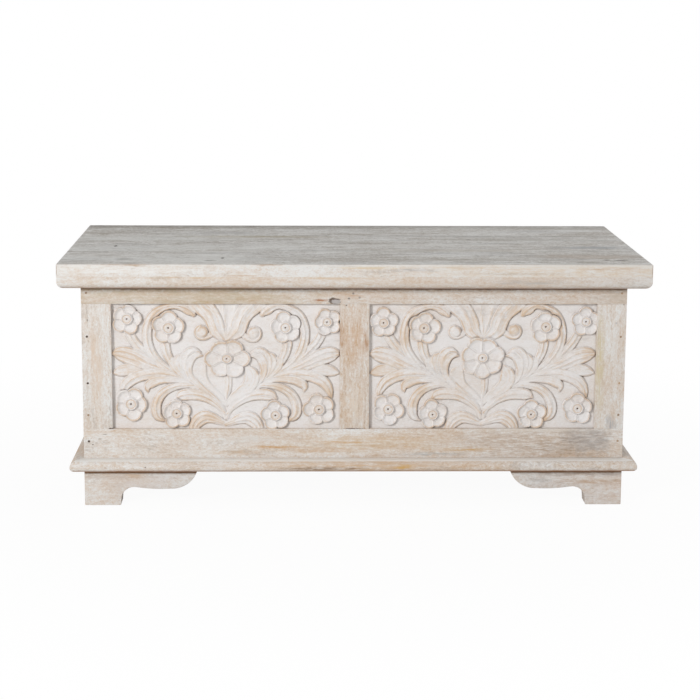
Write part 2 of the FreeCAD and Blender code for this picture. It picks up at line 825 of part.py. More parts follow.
def lid():
    """Four planks glued on a rim of strips, with two battens across them underneath."""
    seams = [case_back]
    for width in (s.back_plank_width, s.third_plank_width, s.second_plank_width):
        seams.insert(0, seams[0] - width)
    seams.insert(0, lid_front)
    names = ("lid_front_plank", "lid_second_plank", "lid_third_plank", "lid_back_plank")
    for name, low, high in zip(names, seams, seams[1:]):
        keep(name, box(name, (-lid_half, lid_half), (low, high), (board_bottom, s.chest_height)))
    z = (seam, board_bottom)
    width = s.lid_strip_width
    edging(lambda where: f"lid_{where}_strip", lid_half, lid_front, width, z, s.lid_edge_round, None)
    inner = lid_half - width
    name = "lid_back_strip"
    blank = box(name + "_blank", (-inner, inner), (case_back - width, case_back), z)
    mortises = [hinge_plate(f"{side_name}_lid_mortise", side, "lid") for side_name, side in SIDES.items()]
    keep(name, cut(name, blank, mortises))
    for side_name, side in SIDES.items():
        name = f"lid_{side_name}_batten"
        x = span((lid_half - s.batten_inset) * side, s.batten_width)
        y = (lid_front + width, case_back - width)
        keep(name, box(name, x, y, (board_bottom - s.batten_thickness, board_bottom)))


def check_and_write():
    """Stops on any failed object or unsound piece, then writes one file for each piece."""
    doc.recompute()
    for thing in doc.Objects:
        if "Invalid" in thing.State or "Error" in thing.State:
            raise RuntimeError(f"{thing.Label} failed: {thing.State}")
    for name, thing in nodes.items():
        if thing.Shape.isNull() or not thing.Shape.isValid():
            raise RuntimeError(f"{name} has no sound shape")
    os.makedirs("parts", exist_ok=True)
    for name, thing in nodes.items():
        thing.Shape.exportStep(f"parts/{name}.step")


front_frame()
carved_panels()
corner_posts()
side_walls()
back_wall()
bottom_panel()
base_frame()
feet()
nails()
hinges()
stays()
screws()
lid()
check_and_write()

print(f"pieces: {len(nodes)}")
print(f"hinge axis y {hinge_axis.number:.3f} z {seam.number:.3f}")
print(f"stay pivots y {stay_y.number:.3f}, lid z {lid_pivot_z.number:.3f}, case z {case_pin_z.number:.3f}")
print(f"stay distances shut {shut_distance.number:.3f} open {open_distance.number:.3f}")
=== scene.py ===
"""Looks of a lime-washed storage chest: wood, carving, metal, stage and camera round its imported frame.

The file is laid out as an add-on. Run as a script, it builds the whole scene once. Lengths in the
code are metres in the row frame. The tables and the carving itself are in millimetres.
"""
import json
import math

import bmesh
import bpy
import numpy as np
from bpy.props import FloatProperty, FloatVectorProperty, PointerProperty
from mathutils import Matrix, Vector


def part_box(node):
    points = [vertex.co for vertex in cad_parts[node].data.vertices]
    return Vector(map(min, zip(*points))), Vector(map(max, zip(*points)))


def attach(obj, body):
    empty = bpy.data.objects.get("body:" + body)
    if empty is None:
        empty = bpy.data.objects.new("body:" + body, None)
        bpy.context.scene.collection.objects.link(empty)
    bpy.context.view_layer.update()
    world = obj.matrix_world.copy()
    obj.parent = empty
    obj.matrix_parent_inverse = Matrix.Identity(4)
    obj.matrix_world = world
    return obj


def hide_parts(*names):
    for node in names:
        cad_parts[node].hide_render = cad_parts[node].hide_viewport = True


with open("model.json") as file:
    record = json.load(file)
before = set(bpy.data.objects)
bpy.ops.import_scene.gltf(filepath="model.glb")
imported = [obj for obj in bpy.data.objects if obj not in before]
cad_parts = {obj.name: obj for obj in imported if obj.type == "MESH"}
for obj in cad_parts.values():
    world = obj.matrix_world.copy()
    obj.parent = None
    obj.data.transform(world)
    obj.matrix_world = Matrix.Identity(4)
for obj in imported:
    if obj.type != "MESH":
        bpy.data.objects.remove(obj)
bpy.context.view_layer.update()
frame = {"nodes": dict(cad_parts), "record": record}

bl_info = {
    "name": "Limed Storage Chest",
    "version": (1, 0, 0),
    "blender": (4, 5, 0),
    "location": "3D Viewport > Sidebar > Chest",
    "description": "Dresses a packed storage chest: limed boards, carved panels, hardware and stage",
    "category": "Object",
}

MM = 0.001
CASE = "case"
LID = "lid"
# The carved panels' ground, which is flush with the face of the CAD panels behind their carving
PANEL_GROUND = -0.25
# Corners of a CAD mesh that are nearer than this are one corner
WELD = 1e-6


def srgb(code):
    """Linear colour of a hex code such as D9C4A5."""
    shares = [int(code[i:i + 2], 16) / 255 for i in (0, 2, 4)]
    return tuple(c / 12.92 if c <= 0.04045 else ((c + 0.055) / 1.055) ** 2.4 for c in shares)


def colour_setting(name, description, code):
    return FloatVectorProperty(name=name, description=description, subtype="COLOR", size=3, min=0, max=1,
                               default=srgb(code))


def length_setting(name, description, default):
    return FloatProperty(name=name, description=description, unit="LENGTH", subtype="DISTANCE",
                         precision=4, min=0, default=default)


class ChestWoodSettings(bpy.types.PropertyGroup):
    """Colours and edges of the boards."""

    wash: colour_setting("Lime wash", "Colour where the wash lies thick", "E6E5E3")
    bare: colour_setting("Bare wood", "Colour where the wash is rubbed thin", "C9AC8E")
    weathered: colour_setting("Weathered grey", "Colour of greyed patches", "B7B6B5")
    # The lid top's colours are greyer and darker than the front's: partly weathered wash, partly painted
    # shade for a top that the frontal light reaches less
    top_wash: colour_setting("Lid top wash", "Colour of the wash on the planks' upper side", "E4E3E0")
    top_bare: colour_setting("Lid top wood", "Colour of thin places on the planks' upper side", "897B6A")
    plain: colour_setting("Plain wood", "Colour of unwashed wood inside", "C3A27A")
    plain_dark: colour_setting("Plain wood, dark rings", "Colour of unwashed wood's dark rings", "94704A")
    grime: colour_setting("Grime", "Colour of dirt in joints and nicks", "4A3324")
    worn_edge: colour_setting("Worn edge", "Colour of edges rubbed down to the wood", "B99A7C")
    ease: length_setting("Eased edge", "Width of the softened edges of the loose boards", 0.0012)
    joint_ease: length_setting("Eased joint", "Width of the softened edges of joined boards", 0.0005)


class ChestCarvingSettings(bpy.types.PropertyGroup):
    """Sizes and colours of the carved panels."""

    ground: colour_setting("Ground", "Colour of the wash in the cut ground", "ECE9E8")
    rubbed: colour_setting("Rubbed leaves", "Colour of leaves where the wash is rubbed thin", "DDC8B2")
    ridge: colour_setting("Rubbed ridge", "Colour of ridges and rims rubbed to the wood", "D2B391")
    # Painted shade with dust: laid at the foot of the carving's walls, in its hollows, under the top rail
    # and on the lee side of its forms
    shade: colour_setting("Settled dust", "Colour of dust at the foot of the carving", "A08C7D")
    # Painted shade with dust at its darkest, in the deepest cuts and the flowers' holes
    grime: colour_setting("Carving grime", "Colour of dirt in the deepest cuts", "695447")
    grid: length_setting("Grid", "Distance between the points of the carved surface", 0.00105)
    leaf_relief: length_setting("Leaf relief", "Height of the leaves over the ground", 0.0062)
    flower_relief: length_setting("Flower relief", "Height of the petal rims over the ground", 0.0070)
    boss_relief: length_setting("Boss relief", "Height of the flowers' middles over the ground", 0.0092)


class ChestMetalSettings(bpy.types.PropertyGroup):
    """Colours of hinges, stays, screws and nails."""

    brass: colour_setting("Hinge brass", "Colour of the aged brass", "9C8759")
    steel: colour_setting("Stay steel", "Colour of the plated stays", "B5B3AE")
    screw: colour_setting("Screw steel", "Colour of the screws", "A5A29B")
    iron: colour_setting("Nail iron", "Colour of the nail heads", "4B3A2E")


class ChestStageSettings(bpy.types.PropertyGroup):
    """Camera, lamps and floor."""

    focal_length: FloatProperty(
        name="Focal length",
        description="Focal length of the camera, for a 36 mm sensor",
        subtype="DISTANCE_CAMERA",
        default=99.86,
    )
    floor: colour_setting("Floor", "Colour of the floor", "F4F3F1")
    fill: FloatProperty(name="Fill", description="Strength of the light from all round", min=0, default=0.41)
    key: FloatProperty(name="Key", description="Power of the large lamp at the front left", subtype="POWER",
                       min=0, default=112)


class Value:
    """An output of a node tree. Arithmetic on it lays out the nodes for the result."""

    def __init__(self, graph, socket):
        self.graph = graph
        self.socket = socket

    def combined(self, operation, *values):
        kind = self.graph.vector if self.socket.type == "VECTOR" else self.graph.math
        return kind(operation, *values)

    def __add__(self, other):
        return self.combined("ADD", self, other)

    def __sub__(self, other):
        return self.combined("SUBTRACT", self, other)

    def __rsub__(self, other):
        return self.combined("SUBTRACT", other, self)

    def __mul__(self, other):
        return self.combined("MULTIPLY", self, other)


class Graph:
    """Short calls that lay out a node tree."""

    def __init__(self, tree):
        self.tree = tree

    def feed(self, socket, value):
        """Links the value to the socket, or sets it there if it is a plain value."""
        if isinstance(value, Value):
            value = value.socket
        if isinstance(value, bpy.types.NodeSocket):
            self.tree.links.new(value, socket)
        elif socket.type == "RGBA":
            socket.default_value = (*value, 1)
        else:
            socket.default_value = value

    def fill(self, node, inputs):
        """Feeds the named or numbered inputs of the node."""
        for name, value in inputs.items():
            self.feed(node.inputs[name], value)
        return node

    def add(self, kind, inputs=None, **settings):
        """A new node with the settings and inputs."""
        made = self.tree.nodes.new(kind)
        for name, value in settings.items():
            setattr(made, name, value)
        return self.fill(made, inputs or {})

    def value(self, kind, output, inputs=None, **settings):
        """One output of a new node."""
        return Value(self, self.add(kind, inputs, **settings).outputs[output])

    def math(self, operation, *values, clamp=False):
        inputs = dict(enumerate(values))
        return self.value("ShaderNodeMath", 0, inputs, operation=operation, use_clamp=clamp)

    def vector(self, operation, *values):
        output = "Value" if operation == "LENGTH" else "Vector"
        return self.value("ShaderNodeVectorMath", output, dict(enumerate(values)), operation=operation)

    def split(self, value):
        return [Value(self, part) for part in self.add("ShaderNodeSeparateXYZ", {0: value}).outputs]

    def join(self, x, y, z):
        return self.value("ShaderNodeCombineXYZ", 0, {0: x, 1: y, 2: z})

    def mix(self, share, below, above):
        return self.value("ShaderNodeMix", 2, {"Factor": share, 6: below, 7: above}, data_type="RGBA")

    def step(self, value, low, high, to_low=0, to_high=1):
        """Smooth step of the value from low to high."""
        inputs = dict(enumerate((value, low, high, to_low, to_high)))
        return self.value("ShaderNodeMapRange", 0, inputs, interpolation_type="SMOOTHSTEP")

    def noise(self, place, scale, detail=2, roughness=0.5):
        """Noise of the place. The scale is one number, or one for each axis."""
        scales = scale if isinstance(scale, tuple) else (scale, scale, scale)
        scaled = self.vector("MULTIPLY", place, scales)
        inputs = {"Vector": scaled, "Scale": 1, "Detail": detail, "Roughness": roughness}
        return self.value("ShaderNodeTexNoise", "Fac", inputs)

    def attribute(self, name, output="Fac"):
        return self.value("ShaderNodeAttribute", output, attribute_name=name)

    def coordinates(self, kind):
        return self.value("ShaderNodeTexCoord", kind)

    def seen(self):
        """1 for the rays that show a thing to the camera, straight, mirrored or through glass."""
        rays = self.add("ShaderNodeLightPath").outputs
        turned = self.math("MAXIMUM", rays["Is Glossy Ray"], rays["Is Transmission Ray"])
        return self.math("MAXIMUM", rays["Is Camera Ray"], turned)


def new_group(name, inputs, outputs):
    """A shader group whose inputs and outputs are named by kind: its graph, its inputs, its results."""
    tree = bpy.data.node_groups.new(name, "ShaderNodeTree")
    for way, kinds in (("INPUT", inputs), ("OUTPUT", outputs)):
        for kind, labels in kinds.items():
            for label in labels:
                tree.interface.new_socket(label, in_out=way, socket_type="NodeSocket" + kind)
    g = Graph(tree)
    given = {socket.name: Value(g, socket) for socket in g.add("NodeGroupInput").outputs}
    return g, given, g.add("NodeGroupOutput")


def figure_group():
    """Wood figure in board space, grain along X: each output is a field round 0, from broad to fine."""
    names = ("Patches", "Blotches", "Bands", "Mottle", "Fibres", "Pores")
    g, given, result = new_group("Wood Figure", {"Vector": ["Grain"]}, {"Float": names})
    grain = given["Grain"]
    x, y, z = g.split(grain)
    sway = (g.noise(grain, (7, 22, 22)) - 0.5) * 0.045
    sway = sway + (g.noise(grain, (38, 70, 70)) - 0.5) * 0.011
    warped = g.join(x, y + sway, z + sway)
    fields = [
        ((5, 14, 14), 3, 0.55),
        ((20, 55, 55), 3, 0.6),
        ((8, 190, 190), 3, 0.6),
        ((125, 270, 270), 3, 0.6),
        ((300, 620, 620), 2, 0.6),
    ]
    found = {name: g.noise(warped, *field) - 0.5 for name, field in zip(names, fields)}
    found["Pores"] = g.step(g.noise(warped, (130, 1500, 1500), 1), 0.63, 0.72)
    g.fill(result, found)
    return g.tree


def edge_group():
    """Nearness to the edges of a board, given by its box: 1 at an edge, 0 at the width and beyond."""
    kinds = {"Vector": ["Place", "Low", "High"], "Float": ["Width"]}
    g, given, result = new_group("Board Edge", kinds, {"Float": ["Edge"]})
    nearer = g.vector("MINIMUM", given["Place"] - given["Low"], given["High"] - given["Place"])
    a, b, c = g.split(g.vector("MAXIMUM", nearer, (0, 0, 0)))
    middle = g.math("MAXIMUM", g.math("MINIMUM", a, b), g.math("MINIMUM", g.math("MAXIMUM", a, b), c))
    g.fill(result, {"Edge": g.step(middle, 0, given["Width"], 1, 0)})
    return g.tree


WASH_COLOURS = ("Wash", "Bare", "Weathered", "Grime", "Worn Edge")
WASH_SHARES = ("Rubbed", "Greyed", "Bands", "Mottle", "Edge Wear", "Nicks")
STAIN_SHARES = ("Strength", "Fray", "Core", "Seed")


def wash_group(figure, edge):
    """Limed wood: wash over wood figure, rubbed thin in places and at the edges, with grey and nicks."""
    kinds = {"Vector": ["Grain", "Place", "Low", "High"], "Color": WASH_COLOURS, "Float": WASH_SHARES}
    g, given, result = new_group("Limed Wood", kinds, {"Color": ["Color"], "Float": ["Roughness", "Height"]})
    grain, place = given["Grain"], given["Place"]
    fields = g.add("ShaderNodeGroup", {"Grain": grain}, node_tree=figure).outputs
    patches, blotches, bands, mottle, fibres, pores = (Value(g, field) for field in fields)
    inputs = {"Place": place, "Low": given["Low"], "High": given["High"], "Width": 0.0045}
    at_edge = g.value("ShaderNodeGroup", 0, inputs, node_tree=edge)
    thin = given["Rubbed"] + (patches * 1.1 + blotches * 0.8) + bands * (given["Bands"] * 1.4)
    rubbed = g.math("ADD", thin, (mottle * 1.45 + fibres * 1.3) * given["Mottle"], clamp=True)
    colour = g.mix(rubbed, given["Wash"], given["Bare"])
    cold = g.noise(grain + (3.7, 8.1, 2.2), (5, 17, 17), 3, 0.6) + (bands + mottle) * 0.5
    cold = g.step(given["Greyed"] * 0.5 + (cold - 0.25), 0.42, 0.72)
    colour = g.mix(cold * 0.6, colour, given["Weathered"])
    dark = g.mix(0.35, given["Bare"], given["Grime"])
    lines = g.step(bands * 0.6 + fibres * 0.5, 0.09, 0.2)
    colour = g.mix(lines * (given["Bands"] * 0.45), colour, dark)
    colour = g.mix(pores * (given["Mottle"] * 0.34), colour, dark)
    specks = g.add("ShaderNodeTexVoronoi", {"Vector": grain * (17, 42, 42), "Scale": 1}).outputs
    chance = g.split(specks["Color"])[0]
    nick = g.step(specks["Distance"], 0.1, 0.03) * g.step(chance, 1 - given["Nicks"] * 0.2, 1)
    colour = g.mix(nick * 0.8, colour, given["Grime"])
    wear = g.step(at_edge * given["Edge Wear"] * (g.noise(place, 55, 4, 0.65) * 2), 0.3, 1)
    g.fill(result, {
        "Color": g.mix(wear * 0.7, colour, given["Worn Edge"]),
        "Roughness": rubbed * -0.14 + 0.86,
        "Height": mottle * 0.8 + (fibres * 0.9 + bands * 0.5) - (nick + pores * 0.3),
    })
    return g.tree


def stain_group():
    """A soft patch of colour at a place, for stains and for painted shade and light: an ellipsoid whose
    outline is frayed along the grain.
    """
    kinds = {
        "Color": ["Color", "Stain Color"],
        "Vector": ["Place", "Grain", "Middle", "Radii"],
        "Float": STAIN_SHARES,
    }
    g, given, result = new_group("Stain", kinds, {"Color": ["Color"]})
    place, seed = given["Place"], given["Seed"]
    off = g.vector("DIVIDE", place - given["Middle"], given["Radii"])
    frayed = g.noise(off + g.join(seed, seed, seed), 2.1, 4, 0.7)
    uneven = frayed * 1.3 + g.noise(place, 90, 3, 0.6) * 0.7 - 1
    reach = g.vector("LENGTH", off) + uneven * given["Fray"]
    streaks = g.step(g.noise(given["Grain"], (45, 330, 330), 3, 0.7), 0.36, 0.64, -1, 1)
    swing = g.math("MULTIPLY_ADD", given["Core"], -0.9, 0.72, clamp=True)
    strength = given["Strength"] * (streaks * swing + 1)
    share = g.math("MULTIPLY", g.step(reach, 1, given["Core"]), strength, clamp=True)
    g.fill(result, {"Color": g.mix(share, given["Color"], given["Stain Color"])})
    return g.tree


# Turn about X, Y and Z, in degrees, that lays the grain of a board along X
GRAIN_TURNS = {"x": (0, 0, 0), "y": (0, 0, -90), "z": (0, 90, 0)}

# Each finish: rubbed, greyed, bands, mottle, edge wear, nicks
FINISHES = {
    "plank": (0.12, 0.26, 0.40, 0.70, 0.20, 0.15),
    "top": (0.30, 0.40, 1.50, 1.10, 0.00, 0.45),
    "strip": (0.34, 0.24, 0.45, 0.68, 0.20, 0.15),
    "upper": (0.50, 0.22, 0.50, 0.70, 0.05, 0.20),
    "rail": (0.38, 0.22, 0.50, 0.75, 0.05, 0.20),
    "stile": (0.28, 0.28, 0.50, 0.70, 0.05, 0.15),
    "centre": (0.56, 0.18, 0.85, 0.80, 0.10, 0.20),
    "base": (0.40, 0.24, 0.60, 0.80, 0.40, 0.25),
    "foot": (0.24, 0.34, 0.45, 0.80, 0.55, 0.20),
    "side": (0.34, 0.30, 0.60, 0.70, 0.20, 0.25),
    "inside": (0.40, 0.20, 0.90, 0.80, 0.20, 0.30),
}
CARVING_FINISH = (0.12, 0.22, 0.1, 0.5, 0.0, 0.05)
# Boards by grain direction and finish. Their order gives each one its own cut of the figure.
BOARDS = [
    ("x", "plank", "lid_front_plank lid_second_plank lid_third_plank lid_back_plank"),
    ("x", "strip", "lid_front_strip lid_back_strip"),
    ("y", "strip", "lid_left_strip lid_right_strip"),
    ("y", "side", "lid_left_batten lid_right_batten"),
    ("x", "upper", "front_top_rail"),
    ("x", "rail", "front_bottom_rail"),
    ("z", "stile", "front_left_stile front_right_stile"),
    ("z", "centre", "front_centre_stile"),
    ("z", "side", "front_left_post front_right_post back_left_post back_right_post"),
    ("y", "side", "left_side_top_rail left_side_bottom_rail left_side_panel"),
    ("y", "side", "right_side_top_rail right_side_bottom_rail right_side_panel"),
    ("x", "side", "back_top_rail back_bottom_rail back_left_panel back_right_panel"),
    ("z", "side", "back_centre_stile"),
    ("x", "inside", "bottom_panel"),
    ("x", "base", "base_front_moulding base_back_board"),
    ("y", "base", "base_left_moulding base_right_moulding"),
    ("x", "foot", "front_left_foot_face front_right_foot_face back_left_foot_face back_right_foot_face"),
    ("y", "foot", "front_left_foot_side front_right_foot_side back_left_foot_side back_right_foot_side"),
]
# Boards that keep small edges, because they are joined flush to their neighbours
JOINED = ("upper", "rail", "stile", "centre", "strip", "inside", "side")

# Stains, and patches of painted shade and light, in millimetres: place, radii, colour, strength, fray,
# core. Place and radii are given along X, Y and Z, or along X and Z for a patch that reaches through the
# board. A radius of ALL reaches through.
ALL = 9000
# Painted shadow of the base's nose: a brown band along the top of the front feet's faces
SHADE_UNDER_BASE = (0, 0, 70.5, ALL, ALL, 9.5, "86603F", 0.9, 0.3, 0.75)
STAINS_AND_SHADE = {
    "front_top_rail": [
        # Painted shadow of the lid, with some dust: a dark brown band along the rail's top
        (0, -262, 421.5, ALL, 7, 10, "6B4C32", 0.9, 0.35, 0.75),
        (-62, 394.5, 22, 3.4, "A8683A", 0.75, 0.9, 0.1), (-38, 393, 12.5, 7.2, "4A362B", 0.9, 0.9, 0.7),
        (-34.8, 391.6, 9.4, 5, "BFBAB9", 0.9, 0.9, 0.7), (-12, 402, 34, 10, "C9A98C", 0.5, 1.2, 0.1),
        (-3, 407, 3.2, 2.6, "6A5F5A", 0.8, 0.5, 0.4), (-11, 397.6, 3.2, 2.6, "6A5F5A", 0.8, 0.5, 0.4),
        (9, 399.5, 3.2, 2.4, "6A5F5A", 0.7, 0.5, 0.4), (-300, 400, 330, 30, "BBAA88", 0.4, 0.9, 0.2),
        (490, 402, 60, 20, "C8BBAC", 0.5, 0.8, 0.1),
    ],
    "front_bottom_rail": [
        (330, 118, 230, 60, "A88868", 0.38, 0.8, 0.1), (-150, 113, 60, 5, "C8985A", 0.6, 1.1, 0.1),
        (-15, 122, 95, 4.5, "CB9E64", 0.5, 1.1, 0.1), (-60, 107, 110, 8, "C9A070", 0.36, 1.2, 0.1),
        (-225, 103, 70, 7, "CDAA80", 0.34, 1.2, 0.1), (60, 113, 140, 10, "CAA578", 0.36, 1.2, 0.1),
        (60, 130, 170, 9, "CDAC82", 0.32, 1.2, 0.1), (20, 120, 260, 22, "CDB088", 0.25, 0.9, 0.1),
        (445, 125, 62, 36, "8F8A89", 0.42, 0.9, 0.35), (385, 112, 75, 18, "96806A", 0.22, 1, 0.3),
        (208, 108, 85, 5, "C9A46C", 0.55, 1, 0.1), (150, 99, 90, 4.5, "B3B1AE", 0.55, 1, 0.1),
        (340, 146, 200, 5, "DAD2C8", 0.5, 0.9, 0.1), (-200, 128, 90, 8, "D9D4CE", 0.5, 1, 0.1),
        (-479, 129, 6, 1, "705C4E", 0.7, 0.8, 0.3), (-470, 138, 6, 1, "705C4E", 0.6, 0.8, 0.3),
        (-493, 118, 2.2, 2, "6A564A", 0.8, 0.5, 0.3),
    ],
    "front_left_stile": [
        (-498.5, 356, 2.6, 3.2, "8C8078", 0.5, 0.6, 0.3), (-484, 260, 16, 120, "DBC7B4", 0.5, 1, 0.1),
        (-458, 149, 7, 2.2, "5A4538", 0.75, 0.5, 0.4),
    ],
    "front_right_stile": [
        (462, 270, 13, 130, "D3C6A6", 0.6, 0.9, 0.1), (486, 155, 15, 26, "B0AEAF", 0.6, 0.9, 0.2),
        (504, 388, 3, 3.4, "7A6A60", 0.6, 0.6, 0.3), (491.5, 351, 3, 3, "A9A6A8", 0.5, 0.6, 0.3),
    ],
    "front_centre_stile": [
        (-24, 328, 9, 34, "B28763", 0.6, 0.9, 0.1), (21, 316, 7, 34, "B28763", 0.55, 0.9, 0.1),
        (2, 192, 13, 42, "D9D4CD", 0.55, 0.9, 0.1), (-16, 384.6, 2.6, 2, "4E3E36", 0.8, 0.5, 0.3),
        (0, 320, 30, 70, "C69B72", 0.3, 0.9, 0.1), (0, 195, 30, 50, "E2CFBA", 0.35, 0.9, 0.1),
        (0, 148, 30, 2.6, "5A4538", 0.7, 0.5, 0.4),
    ],
    "lid_front_plank": [
        (430, -300, 455, 520, 14, 60, "D6BC9A", 0.32, 0.7, 0.1),
        (-440, -300, 457, 230, 14, 16, "ECEBE8", 0.55, 0.8, 0.1),
        (300, -300, 450, 120, 14, 4, "B9A58E", 0.4, 1.1, 0.1),
        (470, -300, 460, 70, 14, 5, "BE9C76", 0.35, 1.1, 0.1),
        (200, -300, 462, 80, 14, 4, "C9AA80", 0.4, 1.1, 0.1),
        (110, -300, 457, 70, 14, 5, "B9B4B1", 0.6, 1.1, 0.1),
        (30, -300, 461, 90, 14, 4, "D8C29F", 0.6, 1.1, 0.1),
        (-205, -300, 446, 50, 14, 2.2, "C29C72", 0.4, 1.1, 0.2),
        (-350, -230, 467, 360, 100, 9, "E2E2DF", 0.6, 0.8, 0.1),
        (0, -301, 467, ALL, 24, 9, "E4E1DC", 0.55, 0.7, 0.1),
        (-420, -300, 467, 60, 10, 5, "B08F6C", 0.6, 1.2, 0.1),
        (-160, -300, 467, 34, 9, 5, "B08F6C", 0.6, 1.2, 0.1),
        (450, -190, 467, 150, 50, 9, "B0A090", 0.55, 1, 0.1),
        (500, -240, 467, 17, 6, 9, "4A3F38", 0.85, 0.9, 0.4),
        (474, -233, 467, 8, 6, 9, "4A3F38", 0.8, 0.9, 0.4),
        (-430, -230, 467, 24, 8, 9, "7B766F", 0.7, 1.2, 0.3),
        (150, -232, 467, 420, 30, 9, "9A9184", 0.34, 1, 0.1),
        (-248, -213, 467, 4, 16, 9, "625A52", 0.8, 0.7, 0.4),
        (-271, -248, 467, 15, 6, 9, "69625B", 0.7, 0.9, 0.3),
        # Darker lines at the two ends of the lid's front
        (550, -300, 455, 2.6, 7, 18, "A08570", 0.6, 0.4, 0.4),
        (-550, -300, 455, 2.4, 7, 16, "A58B76", 0.6, 0.4, 0.4),
    ],
    "lid_second_plank": [
        (-400, -80, 467, 400, 100, 9, "DEDEDB", 0.5, 0.8, 0.1),
        (-464, -45, 467, 5, 12, 9, "4F463F", 0.9, 0.6, 0.4),
        (470, -60, 467, 110, 30, 9, "94989D", 0.6, 1.1, 0.1),
        (200, -100, 467, 260, 34, 9, "ADA395", 0.45, 1, 0.1),
        (80, -28, 467, 400, 22, 9, "DCDAD4", 0.45, 0.9, 0.1),
    ],
    "lid_third_plank": [
        (-400, 60, 467, 400, 100, 9, "DADAD6", 0.4, 0.8, 0.1),
        (-180, 102, 467, 240, 22, 9, "A4977B", 0.6, 1.1, 0.1),
        (238, 60, 467, 6, 12, 9, "6D655C", 0.75, 0.7, 0.4),
        (330, 60, 467, 230, 40, 9, "A9A69E", 0.4, 1, 0.1),
        (330, 112, 467, 400, 26, 9, "88837B", 0.36, 1, 0.1),
    ],
    "lid_back_plank": [
        (0, 292, 467, ALL, 75, 9, "8C8780", 0.62, 0.5, 0.1),
        (380, 215, 467, 330, 60, 9, "A29C92", 0.45, 1, 0.1),
        (-220, 205, 467, 260, 26, 9, "AC9F84", 0.42, 1, 0.1),
        (120, 172, 467, 420, 18, 9, "87827A", 0.32, 1, 0.1),
        (-528, 290, 467, 36, 18, 9, "5A4D44", 0.65, 0.8, 0.3),
    ],
    "lid_front_strip": [
        (430, 430, 430, 60, "C2A992", 0.17, 0.8, 0.1), (-300, 442, 150, 3.4, "D2B58F", 0.4, 1.1, 0.1),
        (-20, 441, 160, 3.4, "D2B58F", 0.4, 1.1, 0.1), (330, 434, 110, 7, "BDB7B2", 0.45, 1.1, 0.1),
        # The last patch is painted shade: a warm brown band along the strip's bottom edge
        (0, -298, 421, ALL, 9, 4.5, "A5714A", 0.6, 0.3, 0.35),
    ],
    "base_front_moulding": [
        # The second patch below is painted light: the moulding's top whitened against the shade it lies in
        # under the rail
        (20, 78, 300, 40, "CDB194", 0.6, 0.8, 0.05), (0, -273, 92, ALL, 14, 3, "EFEDE9", 0.8, 0.2, 0.7),
        (-393, 80, 2.2, 2, "6A564A", 0.7, 0.5, 0.3),
        (-445, -284, 90, 2.2, 4, 2.2, "6A564A", 0.7, 0.5, 0.3),
        (-60, 77, 105, 5.5, "937C68", 0.6, 1, 0.15), (95, 80, 32, 5.5, "CDA566", 0.7, 0.9, 0.15),
        # Painted shade: a warm brown band along the nose's bottom edge
        (0, -284, 70, ALL, 9, 4.5, "A5714A", 0.7, 0.3, 0.35),
    ],
    "base_right_moulding": [
        (535, -100, 80, 40, 300, 40, "B8A594", 0.35, 0.8, 0.1),
    ],
    "front_right_foot_face": [
        (480, 30, 220, 90, "C4AC9C", 0.26, 0.8, 0.2), (440, 60, 170, 7, "A3958E", 0.42, 0.9, 0.1),
        (470, 45, 110, 7, "B8946F", 0.36, 1, 0.1),
    ],
    "front_left_foot_face": [
        (-400, 40, 120, 60, "DAD2CD", 0.45, 0.8, 0.1), (-470, 55, 150, 7, "B5A395", 0.32, 0.9, 0.1),
        (-412, 57, 30, 9, "C69F74", 0.36, 1, 0.1),
    ],
}


def body_of_node(node):
    for body, members in frame["record"]["behaviour"]["bodies"].items():
        if node in members:
            return body
    raise RuntimeError(f"no body holds {node}")


def shared_groups():
    """The shader groups that the boards share, made once."""
    if "Limed Wood" not in bpy.data.node_groups:
        wash_group(figure_group(), edge_group())
        stain_group()
    return bpy.data.node_groups["Limed Wood"], bpy.data.node_groups["Stain"]


def washed(g, grain, place, box, colours, finish):
    """Colour, roughness and height of limed wood with its colours and its row of the finishes."""
    inputs = {"Grain": grain, "Place": place, "Low": box[0], "High": box[1]}
    inputs.update(zip(WASH_COLOURS + WASH_SHARES, colours + finish))
    made = g.add("ShaderNodeGroup", inputs, node_tree=shared_groups()[0])
    return [Value(g, made.outputs[name]) for name in ("Color", "Roughness", "Height")]


def stained_and_shaded(g, colour, place, grain, stains):
    """The colour with each of the stains and patches of painted shade and light laid over it."""
    for order, (*form, tint, strength, fray, core) in enumerate(stains):
        if len(form) == 4:
            x, z, rx, rz = form
            form = (x, 0, z, rx, ALL, rz)
        inputs = {"Color": colour, "Place": place, "Grain": grain, "Stain Color": srgb(tint)}
        inputs["Middle"] = [length * MM for length in form[:3]]
        inputs["Radii"] = [length * MM for length in form[3:]]
        inputs.update(zip(STAIN_SHARES, (strength, fray, core, 3.7 * order)))
        colour = g.value("ShaderNodeGroup", 0, inputs, node_tree=shared_groups()[1])
    return colour


def new_material(name):
    """A material and the graph of its nodes."""
    material = bpy.data.materials.new(name)
    material.use_nodes = True
    return material, Graph(material.node_tree)


def shade(g, inputs, height, strength, distance):
    """Feeds the material's shader, with the height as a bump."""
    bump = g.value("ShaderNodeBump", 0, {"Strength": strength, "Distance": distance, "Height": height})
    g.fill(g.tree.nodes["Principled BSDF"], {**inputs, "Normal": bump})


